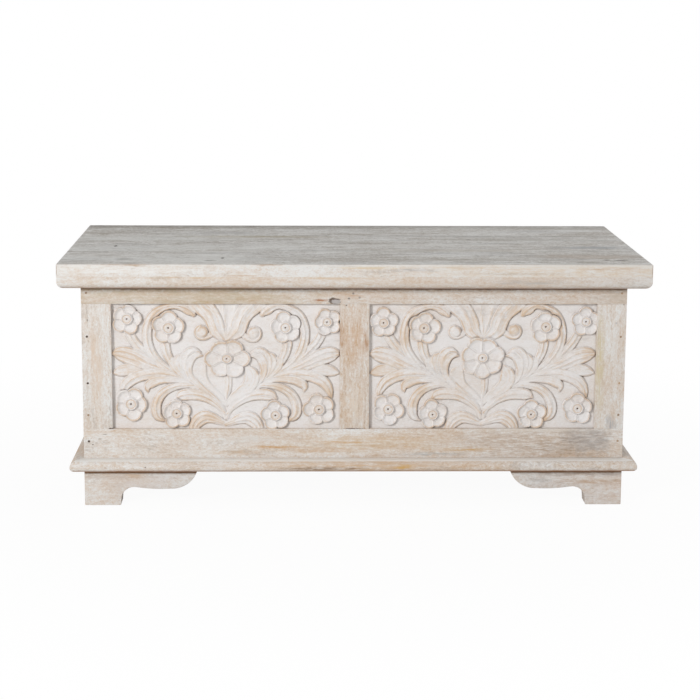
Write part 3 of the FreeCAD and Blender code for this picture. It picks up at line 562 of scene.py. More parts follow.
def board_material(node, axis, finish, order, wood):
    """The material of one board, with its own cut of the figure."""
    material, g = new_material("wood_" + node)
    place = g.coordinates("Object")
    turn = [math.radians(angle) for angle in GRAIN_TURNS[axis]]
    cut = (order * 1.73, order * 0.61 % 3, order * 0.37 % 2)
    grain = g.value("ShaderNodeMapping", 0, {"Vector": place, "Rotation": turn, "Location": cut})
    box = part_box(node)
    colours = (wood.wash, wood.bare, wood.weathered, wood.grime, wood.worn_edge)
    if finish == "inside":
        colours = (wood.plain, wood.plain_dark, wood.plain, wood.grime, wood.plain_dark)
    colour, roughness, height = washed(g, grain, place, box, colours, FINISHES[finish])
    # The planks' upper side takes greyer, darker colours: partly weathered wash, partly painted shade
    if finish == "plank":
        top = (wood.top_wash, wood.top_bare, *colours[2:])
        above = washed(g, grain, place, box, top, FINISHES["top"])[0]
        facing = g.split(g.coordinates("Normal"))[2]
        colour = g.mix(g.step(facing, 0.55, 0.95), colour, above)
    stains = list(STAINS_AND_SHADE.get(node, []))
    # The front feet take the painted shadow under the base
    if "front" in node and "_foot_" in node:
        stains.append(SHADE_UNDER_BASE)
    colour = stained_and_shaded(g, colour, place, grain, stains)
    inputs = {"Base Color": colour, "Roughness": roughness, "Specular IOR Level": 0.3}
    shade(g, inputs, height, 0.4, 0.0008)
    return material


def put(name, data):
    """An object of the mesh, lamp or camera, linked to the scene."""
    made = bpy.data.objects.new(name, data)
    bpy.context.scene.collection.objects.link(made)
    return made


def baked(piece):
    """The mesh that its modifiers make of the piece."""
    graph = bpy.context.evaluated_depsgraph_get()
    return bpy.data.meshes.new_from_object(piece.evaluated_get(graph))


def eased_copy(node, ease, seam):
    """A copy of a CAD board with softened edges, but for those at the height of a tight glued seam."""
    mesh = bpy.data.meshes.new(node + "_eased")
    bm = bmesh.new()
    bm.from_mesh(frame["nodes"][node].data)
    bmesh.ops.remove_doubles(bm, verts=bm.verts, dist=WELD)
    bmesh.ops.recalc_face_normals(bm, faces=bm.faces)
    bmesh.ops.dissolve_limit(bm, angle_limit=math.radians(0.5), verts=bm.verts, edges=bm.edges)
    weight = bm.edges.layers.float.new("bevel_weight_edge")
    for edge in bm.edges:
        glued = all(abs(v.co.z - seam) < 0.1 * MM for v in edge.verts)
        edge[weight] = float(edge.calc_face_angle(0) > math.radians(40) and not glued)
        edge.smooth = not glued
    bm.to_mesh(mesh)
    bm.free()
    piece = put(node + "_board", mesh)
    bevel = piece.modifiers.new("Ease", "BEVEL")
    bevel.width = ease
    bevel.segments = 3
    bevel.limit_method = "WEIGHT"
    bevel.use_clamp_overlap = True
    bevel.harden_normals = True
    mesh.polygons.foreach_set("use_smooth", [True] * len(mesh.polygons))
    result = baked(piece)
    piece.modifiers.clear()
    piece.data = result
    bpy.data.meshes.remove(mesh)
    result.name = node + "_board"
    result.materials.clear()
    return piece


class CHEST_OT_boards(bpy.types.Operator):
    """Lay limed boards with softened edges over the plain ones"""

    bl_idname = "chest.boards"
    bl_label = "Limed Boards"

    def execute(self, context):
        wood = context.scene.chest_wood
        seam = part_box("lid_front_strip")[1][2]
        boards = [(axis, finish, node) for axis, finish, nodes in BOARDS for node in nodes.split()]
        for order, (axis, finish, node) in enumerate(boards, 1):
            piece = eased_copy(node, wood.joint_ease if finish in JOINED else wood.ease, seam)
            piece.data.materials.append(board_material(node, axis, finish, order, wood))
            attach(piece, body_of_node(node))
            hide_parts(node)
        return {"FINISHED"}


# Leaves of one half of a panel, the lower ones first. Each is (height share, flutes, stations from
# root to tip), and a station is millimetres across from the panel's middle, up from the floor, and
# wide. The other half mirrors them.
OUTER_LEAVES = [
    (0.74, 2, [(2, 168, 5), (9, 187, 10), (24, 205, 13), (42, 219, 15), (58, 232, 19), (74, 244, 26),
        (88, 250, 24)]),
    (0.84, 2, [(88, 250, 6), (118, 266, 9), (140, 282, 12), (156, 297, 16), (170, 313, 16),
        (181, 332, 16)]),
    (0.86, 2, [(78, 246, 6), (93, 262, 9), (104, 278, 13), (111, 293, 16), (114.5, 310, 18),
        (115, 324, 16)]),
    (0.8, 1, [(112, 256, 6), (150, 261.5, 12), (175, 262, 19), (192, 259, 21), (204, 256, 15),
        (211, 254, 4)]),
    (0.92, 3, [(82, 246, 6), (110, 257, 12), (135, 266, 18), (155, 275, 25), (172, 284, 29),
        (189, 289.5, 30), (203, 292, 22), (212, 292, 7)]),
    (1, 2, [(86, 249, 6), (104, 259, 9), (120, 270, 12), (133, 284, 14), (142, 299, 15.5),
        (147, 315, 16.5), (148, 332, 17), (145, 348, 17), (138.5, 362, 16), (128, 372.5, 14),
        (113, 379.5, 11.5), (97, 382.5, 11), (83, 380.5, 14), (73, 377, 18), (65, 371.5, 17),
        (60.5, 365.5, 8)]),
    (0.9, 2, [(72, 241, 8), (100, 249, 14), (125, 253, 17), (150, 251, 20), (169, 245.5, 21),
        (185, 235, 20), (193.5, 221, 14), (197, 206, 4)]),
    (0.86, 1, [(70, 237, 6), (92, 241, 9), (112, 241.5, 12), (129, 239.5, 15), (142, 234, 17),
        (148, 227, 12), (147, 217.5, 1.5)]),
    (1, 2, [(54, 230, 6), (78, 231, 9), (96, 228.5, 12), (112, 222, 15), (124, 211, 16.5),
        (131, 197, 17.5), (132.5, 183, 18), (129, 172, 15), (121, 165.5, 8), (114, 162.5, 2)]),
    (0.92, 2, [(3, 177, 5), (15, 190.5, 10), (30, 202.5, 14), (46, 210.5, 18), (62, 213.5, 20),
        (75, 213.5, 21), (86, 211, 18), (94, 206, 6)]),
    (0.84, 1, [(62, 238, 6), (80, 249, 9), (92, 259, 11), (99, 269, 13), (100, 277, 11), (96, 283, 4)]),
    (0.9, 1, [(58, 236, 6), (75, 250, 10), (85, 264, 13), (88.5, 276, 14), (87, 285, 12), (82, 290.5, 4)]),
    (0.96, 2, [(56, 233, 6), (71, 249, 12), (76, 266, 18), (74, 282, 23), (67, 293, 20), (59, 296, 13),
        (47, 292, 2)]),
    (1, 1, [(53, 229, 6), (66, 244, 10), (71, 259, 12), (69, 273, 13), (62, 284, 11), (53.5, 288, 8),
        (44, 287, 1.5)]),
]
# Which of the outer leaves is the arch, whose tip stands out with the curl beside it
ARCH = 5
# The plain leaf on each side of a panel's middle flower, by panel and half
LOBE = (0.8, 1, [(1, 194, 6), (13, 208.5, 12), (27, 219, 17), (41, 229, 24), (48, 242, 28),
    (47, 254, 26), (41, 264, 12)])
TALL_LOBE = (0.5, 1, [(1, 194, 6), (13, 208.5, 12), (27, 219, 17), (41, 231, 24), (50, 246, 29),
    (51, 261, 29), (48, 276, 23), (43, 288, 10)])
LOBES = {"left": (TALL_LOBE, LOBE), "right": ((0.56, *LOBE[1:]), LOBE)}
INNER_LEAF = (0.88, 3, [(0, 156, 8), (12, 161, 13), (26, 167, 19), (39, 169, 24), (50, 164, 25),
    (58, 155, 21), (62, 146, 17)])
# The stem of each half that curls into a ball under the top rail
CURLED_STEM = (0.96, 2, [(1, 315, 6), (8, 324, 17), (16.5, 336, 28), (21, 349, 31), (26, 361, 31),
    (34, 373, 33), (43, 382, 36), (50, 391, 42)])
# By panel and half: how far its curled stem stands from the mirrored one, and its ball, as across, up
# and radius
CURLS = {
    "left": ((0, (43.5, 332.5, 15.5)), (5.3, (50.5, 330, 16))),
    "right": ((3.5, (50.5, 333, 14)), (9.5, (57.5, 335, 15))),
}
# The turn of a curl round its ball: across, up and wide as shares of the curl's radius
CURL_TURN = [
    (-1.35, 0.1, 0.5), (-0.85, -0.42, 0.62), (-0.2, -0.72, 0.58), (0.42, -0.62, 0.54), (0.74, -0.1, 0.5),
    (0.62, 0.45, 0.4), (0.15, 0.78, 0.2),
]
# The fan between the curled stems, and the stem under the middle flower
FAN = (0.6, 3, [(0, 312, 3), (2, 332, 12), (4, 352, 36), (5.5, 367, 54), (6.5, 381, 70), (7, 392, 80)])
MIDDLE_STEM = (0.66, 2, [(0, 203, 2), (3, 217, 9), (4.5, 231, 12), (4, 248, 14)])

# Flowers of both panels: across from the panel's middle, up, radius, petals, and turn in degrees
FLOWERS = {
    "left": [
        (-184.6, 357.8, 29.4, 5, 4), (-107.5, 341.0, 32.3, 5, 14), (1.1, 282.3, 43.4, 6, 0),
        (111.5, 341.5, 31.0, 5, 30), (189.4, 352.1, 26.6, 5, 36), (-179.0, 195.5, 32.6, 5, -5),
        (-93.4, 177.3, 29.0, 5, 25), (92.4, 173.5, 29.2, 5, 27), (174.5, 184.9, 31.0, 5, 35),
    ],
    "right": [
        (-187.2, 350.9, 28.8, 5, 20), (-111.2, 341.0, 31.0, 5, 8), (-0.5, 284.1, 43.4, 7, 13),
        (117.9, 343.4, 31.4, 5, 25), (193.2, 353.2, 28.3, 5, 20), (-177.3, 185.4, 31.2, 5, -10),
        (-93.0, 174.9, 29.0, 5, 27), (93.6, 175.2, 29.4, 5, 18), (181.3, 186.4, 31.0, 5, 17),
    ],
}
# A flower's outline by its number of petals: distance of the petals' centres and their roundness, and
# the reach of its boss, all as shares of the flower's radius
PETAL_SHARES = {5: (0.51, 0.49, 0.375), 6: (0.55, 0.45, 0.25), 7: (0.60, 0.40, 0.25)}
# Height of a flower as a share of its width
SQUASH = {5: 1, 6: 0.87, 7: 0.95}
# How far the wash covers each nail head, by their order from left to right and from the floor up
NAIL_COVERS = (0.1, 0.55, 0.15, -0.1, 0.5, 0.6, 0.5, 0.65, 0.55, 0.6)
# Profile of a nail, as radius and height over the wood in millimetres
NAIL_PROFILE = [
    (0.3, -50), (1.1, -46), (1.1, -1), (2.2, -0.9), (2.2, 0.05), (1.9, 0.18), (1.1, 0.26), (0.4, 0.28),
]
# Rings of a flower: in its boss as shares of the boss, in its petals as shares of the way to the outline
BOSS_RINGS = (0.09, 0.115, 0.14, 0.18, 0.3, 0.44, 0.58, 0.67, 0.72, 0.76, 0.8, 0.84, 0.89, 0.94, 0.98, 1.02)
PETAL_RINGS = (*np.linspace(0.03, 0.90, 20), 0.94, 0.97, 0.99, 1.0, 1.008, 1.012)
# A flower's petals in metres: the spans of their tilt, lean and dish, how far they swell, turn down at the
# outline and sink towards the boss, their least height, and the depth of the creases between them
PETAL_TILT = (-0.0005, 0.0005)
PETAL_LEAN = (-0.0012, 0.0012)
PETAL_DISH = (0.0033, 0.0044)
PETAL_SWELL = 0.0004
PETAL_TURN_DOWN = 0.0014
PETAL_SINK = 0.0024
LEAST_PETAL = 0.0003
CREASE_DEPTH = 0.0019
# Its boss in metres: the step inside its rim, the crown in its middle, its outer wall and its hole, with
# the hole's reach as a share of the boss, and how far the flower is sunk into the panel
BOSS_RIM = 0.0017
BOSS_CROWN = 0.0008
BOSS_WALL = 0.0062
HOLE_DEPTH = 0.0026
HOLE_REACH = 0.17
SUNK = 0.001
# Painted shade in the hole, where 1 is enough to darken the wood
HOLE_SHADE = 2.2
# Colours of thin and greyed places in the wash of the cut ground
GROUND_BARE = "DACBBD"
GROUND_GREY = "CFCBC9"
# Seeds of the hand's unevenness
PANEL_SEEDS = {"left": 11, "right": 47}
# How far a leaf strays from its stations, its points for each station, and its least width
STRAY = 0.8
STATION_POINTS = 40
LEAST_WIDTH = 0.6
# Depth of a flute, and its most as a share of the flute's width
FLUTE_DEPTH = 1.9
FLUTE_SHARE = 0.24
# The wall of a form, by how far inside its edge it starts and ends, and how far outside it the work goes
WALL = (-1.3, 1.1)
FORM_MARGIN = 4
# The groove along an edge: depth, distance outside the edge, and width
LEAF_GROOVE = (0.55, 1.1, 0.95)
BALL_GROOVE = (0.8, 1.2, 1.1)
# Distance between the chisel marks of one form and the next, so that they differ
FLOW_STEP = 1700
# Cells of the ground's waves and the leaves' facets, and a shift that keeps their numbers positive
WAVE_CELL = 7.5
FACET_CELL = 3.4
LATTICE_SHIFT = 500
# Heights between which the groove beside a form sets in, and how far outside a form its flow is kept
GROOVE_SPAN = (0.4, 3.0)
FLOW_MARGIN = 1.2
# Height of a leaf as shares of its own: how much it falls to its edges, its height at the root, the rise
# from there, the fall to its tip, and the spans of rise and fall along it
LEAF_ROUND = 0.20
LEAF_ROOT = 0.62
LEAF_RISE = 0.38
LEAF_FALL = 0.10
RISE_SPAN = (0, 0.45)
FALL_SPAN = (0.8, 1)
# Height of a ball as shares of the relief: at its edge, and the middle over that
BALL_EDGE = 0.70
BALL_DOME = 0.34
# Height share of a curl, and the place and radius of its ball as shares of the curl's radius
CURL_HEIGHT = 0.95
BALL_ASIDE = 0.02
BALL_UP = 0.08
BALL_RADIUS = 0.66
# The clearing round a flower: how far it reaches, its wall, and the height that is left in it
CLEARING = 0.5
CLEARING_WALL = (-1.6, 0.6)
CLEARED_TO = 0.4
# Blurs that bring out hollows, deep places, ridges and slopes, and the blur of all hand work
HOLLOW_BLUR = 1.5
DEEP_BLUR = 4.0
RIDGE_BLUR = 2.6
SLOPE_BLUR = 2.0
HAND_BLUR = 0.42
# Where a mark starts and is full: painted shade with dust by the depth of hollows and deep places, painted
# shade by the distance from the stiles and from the top rail and by the height of a form at the stile, and
# rubbing by a ridge's height
HOLLOW_SPAN = (0.12, 1.1)
DEEP_SPAN = (0.4, 2.4)
STILE_SPAN = (1, 3.2)
RAIL_SPAN = (0.8, 2.8)
FORM_SPAN = (1.5, 4)
RIDGE_SPAN = (0.15, 1.0)
RUBBED_SPAN = (1.2, 3.2)
# Turns of the lee side, for painted shade on the ground round a flower and on the flower itself
GROUND_LEE = math.radians(50)
FLOWER_LEE = math.radians(65)
# Petals of each flower template, and the first one's seed
TEMPLATE_PETALS = [5, 5, 5, 5, 5, 5, 6, 7]
TEMPLATE_SEED = 60
# Points round each petal, the span of a petal's length, from where on its length differs, and the foot of
# the petals as a share of the boss
PETAL_POINTS = 24
PETAL_LENGTH = (0.91, 1.05)
LENGTH_FROM = 0.78
PETAL_FOOT = 1.04
# Where petals turn down, start to sink towards the boss and are dished, and the width of their creases
TURN_REACH = 0.06
SINK_FROM = 0.86
DISH_SPAN = (0.03, 0.25)
CREASE_WIDTH = 0.024
# Unevenness of the flowers' surface, in metres
FLOWER_ROUGHNESS = 0.0003
# A screw in millimetres: radii of head and shank, length, depths of its countersink and slot, the turns of
# its thread and their distance, and the thread's root as a share of the shank
SCREW_HEAD = 3.4
SCREW_SHANK = 1.8
SCREW_LENGTH = 14
SCREW_SINK = 1.6
SLOT_DEPTH = 0.8
THREAD_TURNS = 7
THREAD_PITCH = 1.2
THREAD_ROOT = 0.78


def smooth(value, low, high):
    """Smooth step of an array from low to high."""
    t = np.clip((value - low) / (high - low), 0, 1)
    return t * t * (3 - 2 * t)


def hump(value, middle, width):
    """A bell curve of an array: 1 at the middle, nearly 0 at twice the width from it."""
    return np.exp(-(((value - middle) / width) ** 2))


def lattice(across, up, cell, seed):
    """Smooth random values from 0 to 1 at the given places, with one random value for each cell."""
    count = 97
    table = np.random.default_rng(seed).random((count, count))
    u, v = (across + LATTICE_SHIFT) / cell, up / cell
    i, j = np.floor(u).astype(int), np.floor(v).astype(int)
    fu, fv = smooth(u - i, 0, 1), smooth(v - j, 0, 1)
    i0, i1 = i % count, (i + 1) % count
    j0, j1 = j % count, (j + 1) % count
    low = table[i0, j0] * (1 - fu) + table[i1, j0] * fu
    high = table[i0, j1] * (1 - fu) + table[i1, j1] * fu
    return low * (1 - fv) + high * fv


def through(stations, count):
    """Points along a smooth curve through the stations, evenly numbered between them."""
    p = np.asarray(stations, float)
    p = np.vstack([2 * p[0] - p[1], p, 2 * p[-1] - p[-2]])
    t = np.linspace(0, len(stations) - 1, count)
    k = np.minimum(t.astype(int), len(stations) - 2)
    f = (t - k)[:, None]
    a, b, c, d = p[k], p[k + 1], p[k + 2], p[k + 3]
    bend = (2 * a - 5 * b + 4 * c - d) * f**2 + (3 * b - a - 3 * c + d) * f**3
    return 0.5 * (2 * b + (c - a) * f + bend)


def blurred(field, sigma):
    """The field blurred by sigma grid steps."""
    reach = int(3 * sigma) + 1
    weights = np.exp(-0.5 * (np.arange(-reach, reach + 1) / sigma) ** 2)
    weights /= weights.sum()
    wide = np.pad(field, reach, mode="edge")
    rows = sum(w * wide[:, k:k + field.shape[1]] for k, w in enumerate(weights))
    return sum(w * rows[k:k + field.shape[0]] for k, w in enumerate(weights))


def petal_reach(angle, petals):
    """Reach of a flower's outline at an angle, as a share of its radius."""
    middle, roundness = PETAL_SHARES[petals][:2]
    off = (angle + math.pi / petals) % (2 * math.pi / petals) - math.pi / petals
    return middle * np.cos(off) + np.sqrt(np.maximum(roundness**2 - (middle * np.sin(off)) ** 2, 0))


def flower_gap(across, up, flower):
    """How far the places lie outside a flower's outline, and their angle round its middle."""
    a, z, radius, petals, turn = flower
    off_x, off_z = across - a, (up - z) / SQUASH[petals]
    angle = np.arctan2(off_z, off_x)
    reach = petal_reach(angle - math.radians(turn), petals) * radius
    return np.hypot(off_x, off_z) - reach, angle


def shifted(leaf, shift, first, count):
    """The leaf moved aside: not at all up to its station first, and in full from count stations on."""
    share, flutes, stations = leaf
    parts = [min(1, max(0, k - first) / count) for k in range(len(stations))]
    return share, flutes, [(x + shift * part, z, w) for part, (x, z, w) in zip(parts, stations)]


class Relief:
    """Height of a carved panel over its ground, in millimetres, on a grid of places."""

    def __init__(self, across, up, relief, seed):
        self.across, self.up = np.meshgrid(across, up, indexing="ij")
        self.relief = relief
        self.seed = seed
        self.height = np.zeros_like(self.across)
        self.flow = np.stack([self.across, self.up, np.zeros_like(self.up)], -1)
        self.laid = 0
        self.random = np.random.default_rng(seed)

    def near(self, low, high, margin):
        """Slices of the grid round a rectangle."""
        i = np.searchsorted(self.across[:, 0], (low[0] - margin, high[0] + margin))
        j = np.searchsorted(self.up[0], (low[1] - margin, high[1] + margin))
        return slice(*i), slice(*j)

    def lay(self, window, inside, top, groove, offset, width):
        """Lays a form over what is there, with a wall down to it and a groove along its edge."""
        old = self.height[window]
        laid = old + (top - old) * smooth(inside, *WALL)
        laid = laid - hump(inside, -offset, width) * groove * smooth(np.minimum(old, laid), *GROOVE_SPAN)
        self.height[window] = np.where(inside > -FORM_MARGIN, laid, old)

    def keep_flow(self, window, inside, along, across):
        """Keeps how far a place lies along and across its form, for the marks of the chisel."""
        self.laid += 1
        flow = np.stack([along, across, np.full_like(along, FLOW_STEP * self.laid)], -1)
        self.flow[window] = np.where((inside > -FLOW_MARGIN)[..., None], flow, self.flow[window])

    def leaf(self, share, flutes, stations, side):
        """Lays a fluted leaf, in its place for side 1 or mirrored for side -1."""
        stray_x, stray_z = self.random.uniform(-STRAY, STRAY, 2)
        line = [(side * a + stray_x, z + stray_z, w) for a, z, w in stations]
        curve = through(line, STATION_POINTS * len(line))
        line, width = curve[:, :2], np.maximum(curve[:, 2], LEAST_WIDTH)
        window = self.near(line.min(0), line.max(0), width.max() / 2 + FORM_MARGIN)
        x, z = self.across[window], self.up[window]
        tangent = np.gradient(line, axis=0)
        tangent /= np.linalg.norm(tangent, axis=1)[:, None]
        far = (x[..., None] - line[:, 0]) ** 2 + (z[..., None] - line[:, 1]) ** 2
        nearest = far.argmin(-1)
        off_x, off_z = x - line[nearest, 0], z - line[nearest, 1]
        tx, tz = np.moveaxis(tangent[nearest], -1, 0)
        along = off_x * tx + off_z * tz
        across = off_z * tx - off_x * tz
        half = width[nearest] / 2
        inside = half - np.hypot(across, along)
        u = nearest / (len(line) - 1)
        off = across / np.maximum(half, 0.5)
        place = np.clip((off + 1) / 2, 0, 0.9999) * flutes
        hollow = 1 - (2 * (place % 1) - 1) ** 2
        depth = np.minimum(FLUTE_DEPTH, FLUTE_SHARE * 2 * half / flutes)
        crown = 1 - LEAF_ROUND * np.clip(off, -1, 1) ** 2
        swell = LEAF_ROOT + LEAF_RISE * smooth(u, *RISE_SPAN) - LEAF_FALL * smooth(u, *FALL_SPAN)
        top = self.relief * share * swell * crown - depth * hollow
        self.lay(window, inside, top, *LEAF_GROOVE)
        steps = np.linalg.norm(np.diff(line, axis=0), axis=1)
        length = np.concatenate([[0], np.cumsum(steps)])
        self.keep_flow(window, inside, length[nearest] + along, across)

    def ball(self, across, up, radius):
        """Lays the round end of a curl."""
        low, high = (across - radius, up - radius), (across + radius, up + radius)
        window = self.near(low, high, FORM_MARGIN)
        off_x, off_z = self.across[window] - across, self.up[window] - up
        reach = np.hypot(off_x, off_z)
        dome = self.relief * (BALL_EDGE + BALL_DOME * np.sqrt(np.clip(1 - (reach / radius) ** 2, 0, 1)))
        self.lay(window, radius - reach, dome, *BALL_GROOVE)
        turned = np.arctan2(off_z, off_x) * radius / 2
        self.keep_flow(window, radius - reach, turned, reach / 3)

    def clear(self, flower):
        """Cuts the leaves away under a flower, and a little round it."""
        inside = CLEARING - flower_gap(self.across, self.up, flower)[0]
        over = np.maximum(self.height - CLEARED_TO, 0)
        self.height = self.height - over * smooth(inside, *CLEARING_WALL)

    def carve(self, side):
        """Lays all the leaves of one panel, the lower ones first."""
        halves = list(zip((-1, 1), CURLS[side]))
        self.leaf(*LOBES[side][0], -1)
        for order, leaf in enumerate(OUTER_LEAVES):
            for half, (aside, _) in halves:
                shift = 1.5 * aside if order == ARCH else 0
                self.leaf(*shifted(leaf, shift, len(leaf[2]) - 6, 3), half)
        self.leaf(*LOBES[side][1], 1)
        for half in (-1, 1):
            self.leaf(*INNER_LEAF, half)
        self.leaf(*FAN, 1)
        for half, (aside, (a, z, radius)) in halves:
            curl = [(a + radius * x, z + radius * y, radius * w) for x, y, w in CURL_TURN]
            self.leaf(CURL_HEIGHT, 1, curl, half)
            self.ball(half * (a + BALL_ASIDE * radius), z + BALL_UP * radius, BALL_RADIUS * radius)
            self.leaf(*shifted(CURLED_STEM, aside, 0, 2), half)
        self.leaf(*MIDDLE_STEM, 1)
        for flower in FLOWERS[side]:
            self.clear(flower)

    def roughened(self):
        """The height with the unevenness of hand work: waves in the ground, small facets on the leaves."""
        ground = smooth(self.height, 1.2, 0.2)
        waves = lattice(self.across, self.up, WAVE_CELL, self.seed + 1) - 0.5
        facets = lattice(self.across, self.up * 1.4, FACET_CELL, self.seed + 2) - 0.5
        rough = (0.55 - 0.15 * ground) * waves + (0.3 - 0.1 * ground) * facets
        return blurred(self.height + rough, HAND_BLUR)

    def marks(self, side):
        """Painted shade and settled dust on the panel, and where its ridges are rubbed."""
        carved = self.height
        hollow = blurred(carved, HOLLOW_BLUR) - carved
        ridge = carved - blurred(carved, RIDGE_BLUR)
        deep = blurred(carved, DEEP_BLUR) - carved
        slope_x, slope_z = np.gradient(blurred(carved, SLOPE_BLUR))
        lee = np.tanh(1.5 * (slope_z - slope_x))
        # Painted shade with dust in hollows and deep places, stronger on the lee side of each form
        dust_and_shade = smooth(hollow, *HOLLOW_SPAN) + 0.5 * smooth(deep, *DEEP_SPAN)
        grime = dust_and_shade * (0.82 + 0.42 * lee)
        to_side, to_top = self.across.max() - self.across, self.up.max() - self.up
        # Painted shade in the gap between the carving and the stile at the panel's right
        grime += (1 - smooth(to_side, *STILE_SPAN)) * (0.45 + 1.2 * smooth(carved, *FORM_SPAN))
        # Painted shadow of the top rail along the panel's top
        grime += (1 - smooth(to_top, *RAIL_SPAN)) * 0.8
        for flower in FLOWERS[side]:
            # Painted shadow round each flower, on its lee side
            gap, angle = flower_gap(self.across, self.up, flower)
            grime += hump(gap, 0, 2.2) * (0.32 + 0.3 * np.cos(angle + GROUND_LEE))
        return grime, smooth(ridge, *RIDGE_SPAN) * smooth(carved, *RUBBED_SPAN)


def grid_faces(index):
    """Quads between the points of a grid, which is given by the points' numbers."""
    corners = [index[:-1, :-1], index[1:, :-1], index[1:, 1:], index[:-1, 1:]]
    return np.stack(corners, -1).reshape(-1, 4).tolist()


def ring_faces(index):
    """Quads between rings of points, one ring to a row."""
    return grid_faces(np.hstack([index, index[:, :1]]))


def mesh_from_arrays(name, points, faces, rounded=True):
    mesh = bpy.data.meshes.new(name)
    mesh.from_pydata(np.asarray(points).tolist(), [], faces)
    mesh.validate()
    mesh.polygons.foreach_set("use_smooth", [rounded] * len(mesh.polygons))
    mesh.update()
    return mesh


def point_attribute(mesh, name, values, kind="FLOAT"):
    """Keeps a number or a vector for each point of the mesh."""
    layer = mesh.attributes.new(name, kind, "POINT")
    numbers = np.asarray(values, np.int32 if kind == "INT" else np.float32).ravel()
    layer.data.foreach_set("vector" if kind == "FLOAT_VECTOR" else "value", numbers)


def outward(mesh):
    """Turns all faces of a closed mesh outwards."""
    bm = bmesh.new()
    bm.from_mesh(mesh)
    bmesh.ops.recalc_face_normals(bm, faces=bm.faces)
    bm.to_mesh(mesh)
    bm.free()


def panel_middle(side):
    """Middle and half width of the opening of one carved panel."""
    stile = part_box("front_centre_stile")[1][0]
    outer = abs(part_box(f"front_{side}_stile")[0 if side == "right" else 1][0])
    return (stile + outer) / 2 * (1 if side == "right" else -1), (outer - stile) / 2


def carved_panel(side, carving):
    """The board of one carved panel, with leaves in relief and the places of its flowers cleared."""
    low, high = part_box(side + "_carved_panel")
    middle, half = panel_middle(side)
    bottom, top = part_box("front_bottom_rail")[1][2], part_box("front_top_rail")[0][2]
    across = np.linspace(-half, half, int(2 * half / carving.grid) + 1)
    up = np.linspace(bottom, top, int((top - bottom) / carving.grid) + 1)
    relief = Relief(across / MM, up / MM, carving.leaf_relief / MM, PANEL_SEEDS[side])
    relief.carve(side)
    grime, wear = relief.marks(side)
    height = np.pad(relief.roughened(), 1, mode="edge") * MM
    height[[0, -1]] = 0
    height[:, [0, -1]] = 0
    x = np.concatenate([[low[0]], across + middle, [high[0]]])
    z = np.concatenate([[low[2]], up, [high[2]]])
    x, z = np.meshgrid(x, z, indexing="ij")
    points = np.stack([x, PANEL_GROUND - height, z], -1).reshape(-1, 3)
    index = np.arange(len(points)).reshape(x.shape)
    rim = np.concatenate([index[:, 0], index[-1, 1:], index[-2::-1, -1], index[0, -2:0:-1]])
    behind = points[rim]
    behind[:, 1] = high[1]
    back = len(points) + np.arange(len(rim))
    sides = np.stack([rim, back, np.roll(back, -1), np.roll(rim, -1)], -1).tolist()
    faces = [*grid_faces(index), *sides, back[::-1].tolist()]
    mesh = mesh_from_arrays(side + "_panel_carving", np.vstack([points, behind]), faces)
    outward(mesh)
    for name, field in (("grime", grime), ("wear", wear), ("relief", relief.height / relief.relief)):
        values = np.pad(field, 1, mode="edge").ravel()
        point_attribute(mesh, name, np.concatenate([values, np.zeros(len(rim))]))
    flow = np.pad(relief.flow, ((1, 1), (1, 1), (0, 0)), mode="edge").reshape(-1, 3) * MM
    point_attribute(mesh, "flow", np.vstack([flow, np.zeros((len(rim), 3))]), "FLOAT_VECTOR")
    return put(side + "_panel_carving", mesh)


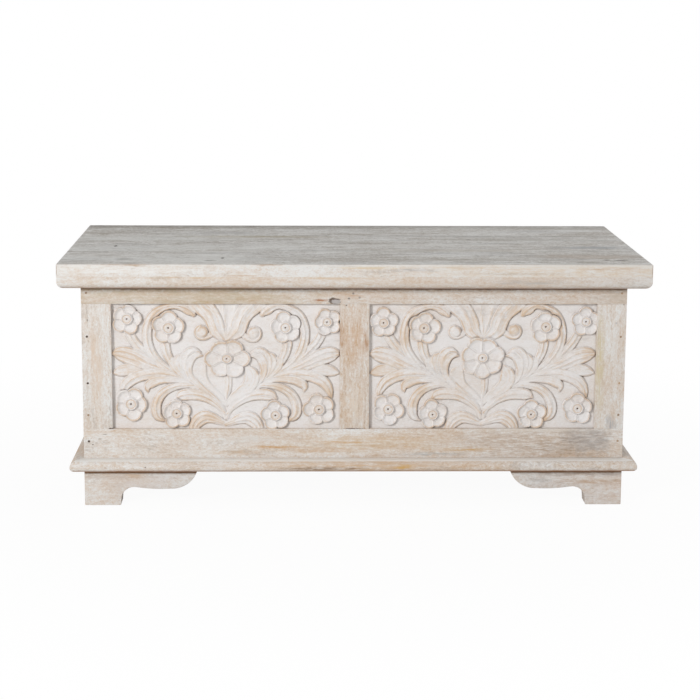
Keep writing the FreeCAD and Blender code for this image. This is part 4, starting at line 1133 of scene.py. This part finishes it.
def flower_template(name, petals, seed, carving):
    """A carved flower of radius 1, lying in the XZ plane and facing -Y, with heights in metres."""
    random = np.random.default_rng(seed)
    steps = PETAL_POINTS * petals
    sector = 2 * math.pi / petals
    angle = np.linspace(0, 2 * math.pi, steps, endpoint=False)
    number = np.round(angle / sector).astype(int) % petals
    boss = PETAL_SHARES[petals][2]
    edge = petal_reach(angle, petals)
    lobe = random.uniform(*PETAL_LENGTH, petals)[number]
    edge = edge * (1 + (lobe - 1) * np.clip((edge - LENGTH_FROM) / (1 - LENGTH_FROM), 0, 1))
    foot = boss * PETAL_FOOT
    rings = [np.full(steps, boss * share) for share in BOSS_RINGS]
    reach = np.array(rings + [foot + (edge - foot) * share for share in PETAL_RINGS])
    aside = np.sin(angle - number * sector) * reach
    to_edge = edge - reach
    to_crease = math.sin(sector / 2) * reach - np.abs(aside)
    inward = np.minimum(to_edge, 1.7 * to_crease + 0.07)

    # Petals: tilted, leaning and dished, turned down at the outline, sunk towards the boss
    spans = (PETAL_TILT, PETAL_LEAN, PETAL_DISH)
    tilt, lean, dish = (random.uniform(*span, petals)[number] for span in spans)
    petal = carving.flower_relief + PETAL_SWELL + tilt + lean * aside - dish * smooth(inward, *DISH_SPAN)
    petal -= PETAL_TURN_DOWN * np.clip(1 - to_edge / TURN_REACH, 0, 1) ** 2
    petal -= PETAL_SINK * np.clip((SINK_FROM - reach) / (SINK_FROM - boss), 0, 1)
    crease = hump(to_crease, 0, CREASE_WIDTH) * smooth(reach, boss, boss + 0.1)
    petal = np.maximum(petal, LEAST_PETAL) - CREASE_DEPTH * crease

    # Boss: a disc with a rim, a raised middle and a hole
    part = reach / boss
    dome = carving.boss_relief + BOSS_CROWN * np.clip(1 - (part / 0.7) ** 2, 0, 1)
    dome -= BOSS_RIM * (1 - smooth(part, 0.72, 0.86)) + BOSS_WALL * smooth(part, 0.82, 1.12)
    dome -= HOLE_DEPTH * (1 - smooth(part, 0.13, HOLE_REACH))
    height = np.where(part < 1.035, dome, petal)
    height[-2] = 0.4 * height[-3]
    height[-1] = -SUNK

    # Painted shade lies in the creases, round the boss and outline on the lee side, and in the hole, with
    # some dust in the creases
    lee = 0.55 + 0.45 * np.cos(angle + FLOWER_LEE)
    round_forms = 0.55 * hump(part, 1.07, 0.07) + 0.65 * smooth(reach / edge, 0.97, 1.0)
    grime = np.where(part < 0.14, HOLE_SHADE, np.clip(0.6 * crease + round_forms * lee, 0, 0.95))
    on_petals = smooth(part, 1.2, 1.6)
    rims = 1.15 * hump(to_edge, 0.07, 0.05) + 0.35 * hump(inward, 0.07, 0.045)
    wear = rims * (1 - crease) * on_petals * random.uniform(0.3, 1.15, petals)[number]
    wear += 1.5 * hump(part, 0.68, 0.09) + 0.5 * (1 - smooth(part, 0.5, 0.66))
    bare = 0.2 + 0.35 * np.clip(1 - to_edge / 0.16, 0, 1) * on_petals

    points = np.stack([reach * np.cos(angle), -height, reach * np.sin(angle)], -1).reshape(-1, 3)
    hub = len(points)
    points = np.vstack([points, [(0, HOLE_DEPTH - carving.boss_relief, 0), (0, SUNK, 0)]])
    index = np.arange(hub).reshape(-1, steps)
    after = np.roll(index, -1, axis=1)
    faces = ring_faces(index)
    faces += [(hub, a, b) for a, b in zip(index[0].tolist(), after[0].tolist())]
    faces += [(hub + 1, b, a) for a, b in zip(index[-1].tolist(), after[-1].tolist())]
    mesh = mesh_from_arrays(name, points, faces)
    outward(mesh)
    marks = {"grime": (grime, HOLE_SHADE), "wear": (wear, 0), "relief": (bare, 0.2)}
    for label, (field, at_hub) in marks.items():
        point_attribute(mesh, label, np.concatenate([field.ravel(), (at_hub, 0)]))
    apart = np.broadcast_to(1.7 * number + seed, reach.shape)
    flow = np.stack([0.03 * reach, 0.03 * aside, apart], -1).reshape(-1, 3)
    point_attribute(mesh, "flow", np.vstack([flow, np.zeros((2, 3))]), "FLOAT_VECTOR")
    return bpy.data.objects.new(name, mesh)


class Tree(Graph):
    """Short calls that lay out a Geometry Nodes tree with named inputs."""

    def __init__(self, name, inputs):
        super().__init__(bpy.data.node_groups.new(name, "GeometryNodeTree"))
        sockets = self.tree.interface
        sockets.new_socket("Geometry", in_out="INPUT", socket_type="NodeSocketGeometry")
        self.names = {}
        for label, kind in inputs.items():
            socket = sockets.new_socket(label, in_out="INPUT", socket_type="NodeSocket" + kind)
            self.names[label] = socket.identifier
        sockets.new_socket("Geometry", in_out="OUTPUT", socket_type="NodeSocketGeometry")
        self.source = self.add("NodeGroupInput").outputs
        self.result = self.add("NodeGroupOutput")

    def field(self, name, kind):
        return self.value("GeometryNodeInputNamedAttribute", "Attribute", {"Name": name}, data_type=kind)

    def finish(self, geometry, material):
        """Ends the tree in Realize Instances and Set Material."""
        real = self.value("GeometryNodeRealizeInstances", 0, {"Geometry": geometry})
        painted = self.value("GeometryNodeSetMaterial", 0, {"Geometry": real, "Material": material})
        self.fill(self.result, {0: painted})

    def apply(self, piece, values):
        """Runs the tree on the piece and leaves it a plain mesh."""
        modifier = piece.modifiers.new(self.tree.name, "NODES")
        modifier.node_group = self.tree
        for label, value in values.items():
            modifier[self.names[label]] = value
        mesh = baked(piece)
        piece.modifiers.remove(modifier)
        piece.data = mesh
        mesh.name = piece.name
        return piece


def spot_tree(name, templates):
    """Sets one of the templates at each point, turned and sized, and roughens it as by hand."""
    t = Tree(name, {"Roughness": "Float", "Seed": "Float", "Material": "Material"})
    choice = {"Collection": templates, "Separate Children": True, "Reset Children": True}
    placed = t.value("GeometryNodeInstanceOnPoints", 0, {
        "Points": t.source["Geometry"],
        "Instance": t.value("GeometryNodeCollectionInfo", 0, choice),
        "Pick Instance": True,
        "Instance Index": t.field("pick", "INT"),
        "Rotation": t.field("turn", "FLOAT_VECTOR"),
        "Scale": t.field("size", "FLOAT_VECTOR"),
    })
    real = t.value("GeometryNodeRealizeInstances", 0, {"Geometry": placed})
    place = t.value("GeometryNodeInputPosition", 0)
    inputs = {"Vector": place, "Scale": 210, "Detail": 2, "W": t.source["Seed"]}
    noise = t.value("ShaderNodeTexNoise", "Fac", inputs, noise_dimensions="4D")
    off = t.join(0, (noise - 0.5) * t.source["Roughness"] * 2, 0)
    moved = t.value("GeometryNodeSetPosition", 0, {"Geometry": real, "Offset": off})
    t.finish(moved, t.source["Material"])
    return t


def spots_piece(name, tree, spots, values):
    """A plain mesh of the tree's templates. A spot is its place, turn, size and template number."""
    places, turns, sizes, picks = zip(*spots)
    mesh = mesh_from_arrays(name, places, [])
    point_attribute(mesh, "turn", turns, "FLOAT_VECTOR")
    point_attribute(mesh, "size", sizes, "FLOAT_VECTOR")
    point_attribute(mesh, "pick", picks, "INT")
    return tree.apply(put(name, mesh), values)


def collected(name, items):
    """A collection of templates, outside the scene."""
    templates = bpy.data.collections.new(name)
    for item in items:
        templates.objects.link(item)
    return templates


def carving_material(carving, wood):
    """White wash in the ground, leaves rubbed to warm wood, and painted shade with dust at the foot of every
    wall.
    """
    material, g = new_material("carving_wash")
    place = g.coordinates("Object")
    everywhere = ((-9, -9, -9), (9, 9, 9))
    colours = (carving.ground, srgb(GROUND_BARE), srgb(GROUND_GREY), wood.grime, carving.ridge)
    wash, _, wash_height = washed(g, place + (3.3, 1.1, 0.7), place, everywhere, colours, CARVING_FINISH)
    wear, grime, relief = (g.attribute(name) for name in ("wear", "grime", "relief"))
    apart = g.join(0, 0, g.noise(place, 9, 1) * 3)
    patch = g.noise(place, 17, 3, 0.6)
    strokes = g.noise(g.attribute("flow", "Vector") * (26, 330, 1) + apart, 1, 3, 0.6)
    fleck = g.noise(place, 190, 3, 0.65)
    bare = strokes * 0.8 + (fleck * 0.4 + patch)
    broad = g.step(bare, 1.0, 1.4) * g.step(relief, 0.15, 0.7, 0.05, 0.9)
    colour = g.mix(broad, wash, carving.rubbed)
    worn = g.step(wear, 0.7, 1.5) * 0.4 + bare
    rubbed = g.step(worn, 0.9, 1.3) * g.step(wear, 0.1, 0.9)
    colour = g.mix(rubbed * 0.6, colour, carving.ridge)
    # Painted shade with dust, from the carving's marks: the shade colour where they are light, the darkest
    # colour where they are strong
    dirt_and_shade = grime * (fleck + 0.4)
    colour = g.mix(g.step(dirt_and_shade, 0.05, 1.0, 0.0, 0.6), colour, carving.shade)
    colour = g.mix(g.step(dirt_and_shade, 0.85, 1.6, 0.0, 0.9), colour, carving.grime)
    inputs = {"Base Color": colour, "Roughness": 0.85, "Specular IOR Level": 0.25}
    shade(g, inputs, strokes * 2 + (fleck * 0.7 + wash_height), 0.45, 0.0008)
    return material


class CHEST_OT_carved_panels(bpy.types.Operator):
    """Carve the two front panels: ground, leaves and scrolls"""

    bl_idname = "chest.carved_panels"
    bl_label = "Carved Panels"

    def execute(self, context):
        carving = context.scene.chest_carving
        material = carving_material(carving, context.scene.chest_wood)
        for side in FLOWERS:
            piece = carved_panel(side, carving)
            piece.data.materials.append(material)
            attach(piece, CASE)
            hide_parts(side + "_carved_panel")
        return {"FINISHED"}


class CHEST_OT_flowers(bpy.types.Operator):
    """Set the carved flowers on the panels"""

    bl_idname = "chest.flowers"
    bl_label = "Carved Flowers"

    def execute(self, context):
        carving = context.scene.chest_carving
        made = [flower_template(f"flower_{k}", petals, TEMPLATE_SEED + k, carving)
                for k, petals in enumerate(TEMPLATE_PETALS)]
        fives = TEMPLATE_PETALS.count(5)
        tree = spot_tree("Carved Flowers", collected("flower_templates", made))
        material = bpy.data.materials["carving_wash"]
        for first, (side, flowers) in enumerate(FLOWERS.items()):
            middle = panel_middle(side)[0]
            spots = []
            for order, (a, z, radius, petals, turn) in enumerate(flowers):
                place = (middle + a * MM, PANEL_GROUND, z * MM)
                size = radius * MM
                pick = (3 * first + order) % fives if petals == 5 else TEMPLATE_PETALS.index(petals)
                spots.append((place, (0, math.radians(-turn), 0), (size, 1, size * SQUASH[petals]), pick))
            piece = spots_piece(side + "_panel_flowers", tree, spots,
                                {"Roughness": FLOWER_ROUGHNESS, "Seed": 3.0 + first, "Material": material})
            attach(piece, CASE)
        for item in made:
            bpy.data.objects.remove(item)
        return {"FINISHED"}


def metal_material(name, colour, roughness, seed):
    """Aged metal: duller and darker in patches, with fine rubbing marks."""
    material, g = new_material(name)
    place = g.coordinates("Object") + (seed, 0.3 * seed, 0.7 * seed)
    patch = g.noise(place, 90, 4, 0.6)
    rub = g.noise(place, (260, 1500, 1500), 3, 0.6)
    dull = g.step(rub * 0.4 + patch, 0.6, 0.9)
    mixed = g.mix(dull * 0.7, colour, [0.42 * c for c in colour])
    inputs = {"Base Color": mixed, "Roughness": dull * 0.22 + roughness, "Metallic": 1}
    shade(g, inputs, patch * 0.6 + rub, 0.25, 0.0002)
    return material


def nail_material(metal, wood):
    """Iron heads, some of them nearly covered by the wash."""
    material, g = new_material("nail_heads")
    cover = g.noise(g.coordinates("Object"), 700, 3, 0.6) * 0.5 + g.attribute("cover")
    colour = g.mix(g.step(cover, 0.4, 1.1), metal.iron, wood.bare)
    shade(g, {"Base Color": colour, "Roughness": 0.75}, cover, 0.3, 0.0003)
    return material


def turned_mesh(name, profile, steps):
    """A form turned round Z from (radius, height) pairs and closed at both ends."""
    angles = np.linspace(0, 2 * math.pi, steps, endpoint=False)
    points = [(r * math.cos(angle), r * math.sin(angle), z) for r, z in profile for angle in angles]
    index = np.arange(len(points)).reshape(-1, steps)
    faces = [*ring_faces(index), index[0].tolist(), index[-1].tolist()]
    mesh = mesh_from_arrays(name, points, faces, rounded=False)
    outward(mesh)
    return mesh


def slotted(mesh, radius, depth):
    """The mesh of a screw with a slot across its head, which ends at height 0."""
    bm = bmesh.new()
    size = Matrix.Diagonal((2.2 * radius, 0.26 * radius, 2 * depth, 1))
    bmesh.ops.create_cube(bm, size=1, matrix=size)
    cutter_mesh = bpy.data.meshes.new("slot_cutter")
    bm.to_mesh(cutter_mesh)
    bm.free()
    body, cutter = put("screw_body", mesh), put("slot_cutter", cutter_mesh)
    cut = body.modifiers.new("Slot", "BOOLEAN")
    cut.operation = "DIFFERENCE"
    cut.solver = "EXACT"
    cut.object = cutter
    result = baked(body)
    for item in (body, cutter):
        bpy.data.objects.remove(item)
    return result


def loose_solids(node):
    """Corner arrays of the separate solids in a CAD node's mesh."""
    bm = bmesh.new()
    bm.from_mesh(frame["nodes"][node].data)
    bmesh.ops.remove_doubles(bm, verts=bm.verts, dist=WELD)
    left = set(bm.verts)
    solids = []
    while left:
        fresh = [left.pop()]
        corners = []
        while fresh:
            vert = fresh.pop()
            corners.append(vert.co[:])
            joined = {edge.other_vert(vert) for edge in vert.link_edges} & left
            left -= joined
            fresh.extend(joined)
        solids.append(np.array(corners))
    bm.free()
    return sorted(solids, key=lambda solid: tuple(np.round(solid.mean(0), 5)))


def pin_pose(solid):
    """Head centre and outward direction of a screw or nail, from its corners."""
    low, high = solid.min(0), solid.max(0)
    axis = int((high - low).argmax())
    head = (low + high) / 2
    radii = {}
    for sense, level in ((-1, low[axis]), (1, high[axis])):
        face = solid[np.abs(solid[:, axis] - level) < 10 * WELD]
        radii[sense] = np.linalg.norm(np.delete(face - head, axis, 1), axis=1).max()
    sense = max(radii, key=radii.get)
    head[axis] = high[axis] if sense > 0 else low[axis]
    direction = Vector((0, 0, 0))
    direction[axis] = sense
    return head, direction


def pin_spots(node, spin=0.0, more=0.0, kinds=1):
    """A spot for each screw or nail of a CAD node, spun by spin and by more for each one before it."""
    spots = []
    for order, solid in enumerate(loose_solids(node)):
        place, direction = pin_pose(solid)
        spun = Matrix.Rotation(spin + more * order, 3, "Z")
        turn = (direction.to_track_quat("Z", "Y").to_matrix() @ spun).to_euler()
        spots.append((place, turn, (1, 1, 1), order % kinds))
    return spots


class CHEST_OT_hardware(bpy.types.Operator):
    """Finish hinges and stays as aged metal"""

    bl_idname = "chest.hardware"
    bl_label = "Hinges and Stays"

    def execute(self, context):
        metal = context.scene.chest_metal
        brass = metal_material("aged_brass", metal.brass, roughness=0.34, seed=1.0)
        steel = metal_material("plated_steel", metal.steel, roughness=0.30, seed=5.0)
        for side in ("left", "right"):
            for node in ("hinge_case_leaf", "hinge_lid_leaf", "hinge_pin"):
                self.dress(f"{side}_{node}", brass)
            for node in ("stay_bar", "stay_plate", "stay_bracket"):
                self.dress(f"{side}_{node}", steel)
        return {"FINISHED"}

    def dress(self, node, material):
        piece = frame["nodes"][node]
        if not piece.material_slots:
            piece.data.materials.append(material)
        for slot in piece.material_slots:
            slot.material = material


class CHEST_OT_screws(bpy.types.Operator):
    """Set slotted screws in the hinges and stays"""

    bl_idname = "chest.screws"
    bl_label = "Slotted Screws"

    def execute(self, context):
        colour = context.scene.chest_metal.screw
        material = metal_material("screw_metal", colour, roughness=0.32, seed=9.0)
        profile = [(0.3 * SCREW_SHANK, -SCREW_LENGTH), (SCREW_SHANK, 2.5 - SCREW_LENGTH)]
        for turn in range(THREAD_TURNS):
            z = 3 + THREAD_PITCH * turn - SCREW_LENGTH
            profile += [(SCREW_SHANK, z), (THREAD_ROOT * SCREW_SHANK, z + 0.55)]
        profile += [(SCREW_SHANK, -SCREW_SINK), (SCREW_HEAD, -0.25), (0.96 * SCREW_HEAD, 0)]
        mesh = turned_mesh("screw", [(r * MM, z * MM) for r, z in profile], 20)
        template = bpy.data.objects.new("screw", slotted(mesh, SCREW_HEAD * MM, SLOT_DEPTH * MM))
        tree = spot_tree("Slotted Screws", collected("screw_templates", [template]))
        for body in (CASE, LID):
            spots = pin_spots(body + "_screws", spin=0.4, more=1.3)
            piece = spots_piece(body + "_slotted_screws", tree, spots, {"Seed": 1.0, "Material": material})
            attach(piece, body)
            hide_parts(body + "_screws")
        bpy.data.objects.remove(template)
        return {"FINISHED"}


class CHEST_OT_nails(bpy.types.Operator):
    """Set the nails in the front frame, each with a slightly uneven head"""

    bl_idname = "chest.nails"
    bl_label = "Frame Nails"

    def execute(self, context):
        material = nail_material(context.scene.chest_metal, context.scene.chest_wood)
        profile = [(r * MM, z * MM) for r, z in NAIL_PROFILE]
        templates = []
        for k, cover in enumerate(NAIL_COVERS):
            mesh = turned_mesh(f"nail_{k}", profile, 14)
            point_attribute(mesh, "cover", np.full(len(mesh.vertices), cover))
            templates.append(bpy.data.objects.new(f"nail_{k}", mesh))
        tree = spot_tree("Frame Nails", collected("nail_templates", templates))
        spots = pin_spots("front_frame_nails", kinds=len(NAIL_COVERS))
        piece = spots_piece("frame_nails", tree, spots, {"Seed": 2.0, "Material": material})
        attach(piece, CASE)
        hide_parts("front_frame_nails")
        for item in templates:
            bpy.data.objects.remove(item)
        return {"FINISHED"}


# Lamps: place, the point they face, size in metres, and power as a share of the key lamp's
LAMPS = {
    "key_lamp": ((-2.45, -4.1, 1.95), (0, -0.1, 0.22), 0.9, 1),
    "right_lamp": ((4.2, -1.2, 1.9), (0, 0, 0.2), 2.6, 0.22),
    "back_lamp": ((1.6, 4.4, 2.4), (0, 0, 0.2), 2.8, 0.4),
}
# The camera's place and turn, solved on the edges of the chest in the photo. Its pitch is downward, its
# yaw to the right and its roll to the left.
CAMERA_PLACE = (-0.10322, -3.837844, 0.970664)
CAMERA_PITCH, CAMERA_YAW, CAMERA_ROLL = 0.185281, 0.026391, 0.005144
SENSOR_MM = 36
FLOOR_HALF = 30
# Where the floor's shadow starts to fade and is gone, from the middle, and how much of it is seen
SHADOW_REACH = (0.55, 1.5)
SHADOW_SHARE = 0.045


class CHEST_OT_stage(bpy.types.Operator):
    """Set up the floor, the lamps and the camera"""

    bl_idname = "chest.stage"
    bl_label = "Stage"

    def execute(self, context):
        scene, stage = context.scene, context.scene.chest_stage
        self.floor(stage)
        self.world(scene, stage)
        for name, (place, target, size, share) in LAMPS.items():
            self.lamp(name, place, target, size, stage.key * share)
        self.camera(scene, stage)
        scene.view_settings.view_transform = "Standard"
        return {"FINISHED"}

    def floor(self, stage):
        """Takes the chest's shadow near it, and is seen as white further off."""
        corners = [(-1, -1, 0), (1, -1, 0), (1, 1, 0), (-1, 1, 0)]
        mesh = mesh_from_arrays("floor", np.array(corners) * FLOOR_HALF, [(0, 1, 2, 3)], rounded=False)
        material, g = new_material("pale_floor")
        nodes = g.tree.nodes
        nodes.remove(nodes["Principled BSDF"])
        shadowed = g.value("ShaderNodeBsdfDiffuse", 0, {"Color": stage.floor})
        white = g.value("ShaderNodeEmission", 0, {"Color": (1, 1, 1), "Strength": 1})
        away = g.vector("LENGTH", g.coordinates("Object"))
        share = g.seen() * g.step(away, *SHADOW_REACH, 1 - SHADOW_SHARE, 1)
        mixed = g.value("ShaderNodeMixShader", 0, {0: share, 1: shadowed, 2: white})
        g.fill(nodes["Material Output"], {"Surface": mixed})
        mesh.materials.append(material)
        floor = put("floor", mesh)

    def world(self, scene, stage):
        world = bpy.data.worlds.new("soft_surround")
        scene.world = world
        world.use_nodes = True
        g = Graph(world.node_tree)
        light = g.seen() * (1 - stage.fill) + stage.fill
        g.fill(world.node_tree.nodes["Background"], {"Color": (1, 1, 1), "Strength": light})

    def lamp(self, name, place, target, size, power):
        data = bpy.data.lights.new(name, "AREA")
        data.shape = "DISK"
        data.size = size
        data.energy = power
        lamp = put(name, data)
        lamp.location = place
        lamp.rotation_euler = (Vector(target) - Vector(place)).to_track_quat("-Z", "Y").to_euler()

    def camera(self, scene, stage):
        data = bpy.data.cameras.new("camera")
        data.sensor_width = SENSOR_MM
        data.lens = stage.focal_length
        data.dof.use_dof = False
        level = math.cos(CAMERA_PITCH)
        ahead = Vector((math.sin(CAMERA_YAW) * level, math.cos(CAMERA_YAW) * level, -math.sin(CAMERA_PITCH)))
        right = ahead.cross(Vector((0, 0, 1))).normalized()
        up = right.cross(ahead)
        turned = Matrix((right, up, -ahead)).transposed() @ Matrix.Rotation(CAMERA_ROLL, 3, "Z")
        camera = put("camera", data)
        camera.matrix_world = Matrix.Translation(CAMERA_PLACE) @ turned.to_4x4()
        scene.camera = camera


class CHEST_PT_panel(bpy.types.Panel):
    """Lists the pieces of the chest and their settings"""

    bl_idname = "CHEST_PT_panel"
    bl_label = "Storage Chest"
    bl_space_type = "VIEW_3D"
    bl_region_type = "UI"
    bl_category = "Chest"

    def draw(self, context):
        for name in STEPS:
            self.layout.operator(name)
        for name, group in SETTINGS.items():
            for item in group.__annotations__:
                self.layout.prop(getattr(context.scene, name), item)


OPERATORS = [
    CHEST_OT_boards,
    CHEST_OT_carved_panels,
    CHEST_OT_flowers,
    CHEST_OT_hardware,
    CHEST_OT_screws,
    CHEST_OT_nails,
    CHEST_OT_stage,
]
STEPS = [item.bl_idname for item in OPERATORS]
SETTINGS = {
    "chest_wood": ChestWoodSettings,
    "chest_carving": ChestCarvingSettings,
    "chest_metal": ChestMetalSettings,
    "chest_stage": ChestStageSettings,
}
CLASSES = [*SETTINGS.values(), *OPERATORS, CHEST_PT_panel]


def register():
    for item in CLASSES:
        bpy.utils.register_class(item)
    for name, group in SETTINGS.items():
        setattr(bpy.types.Scene, name, PointerProperty(type=group))


def unregister():
    for name in SETTINGS:
        delattr(bpy.types.Scene, name)
    for item in reversed(CLASSES):
        bpy.utils.unregister_class(item)


def main():
    register()
    for name in STEPS:
        family, step = name.split(".")
        getattr(getattr(bpy.ops, family), step)()
    bpy.context.view_layer.update()


if __name__ == "__main__":
    main()
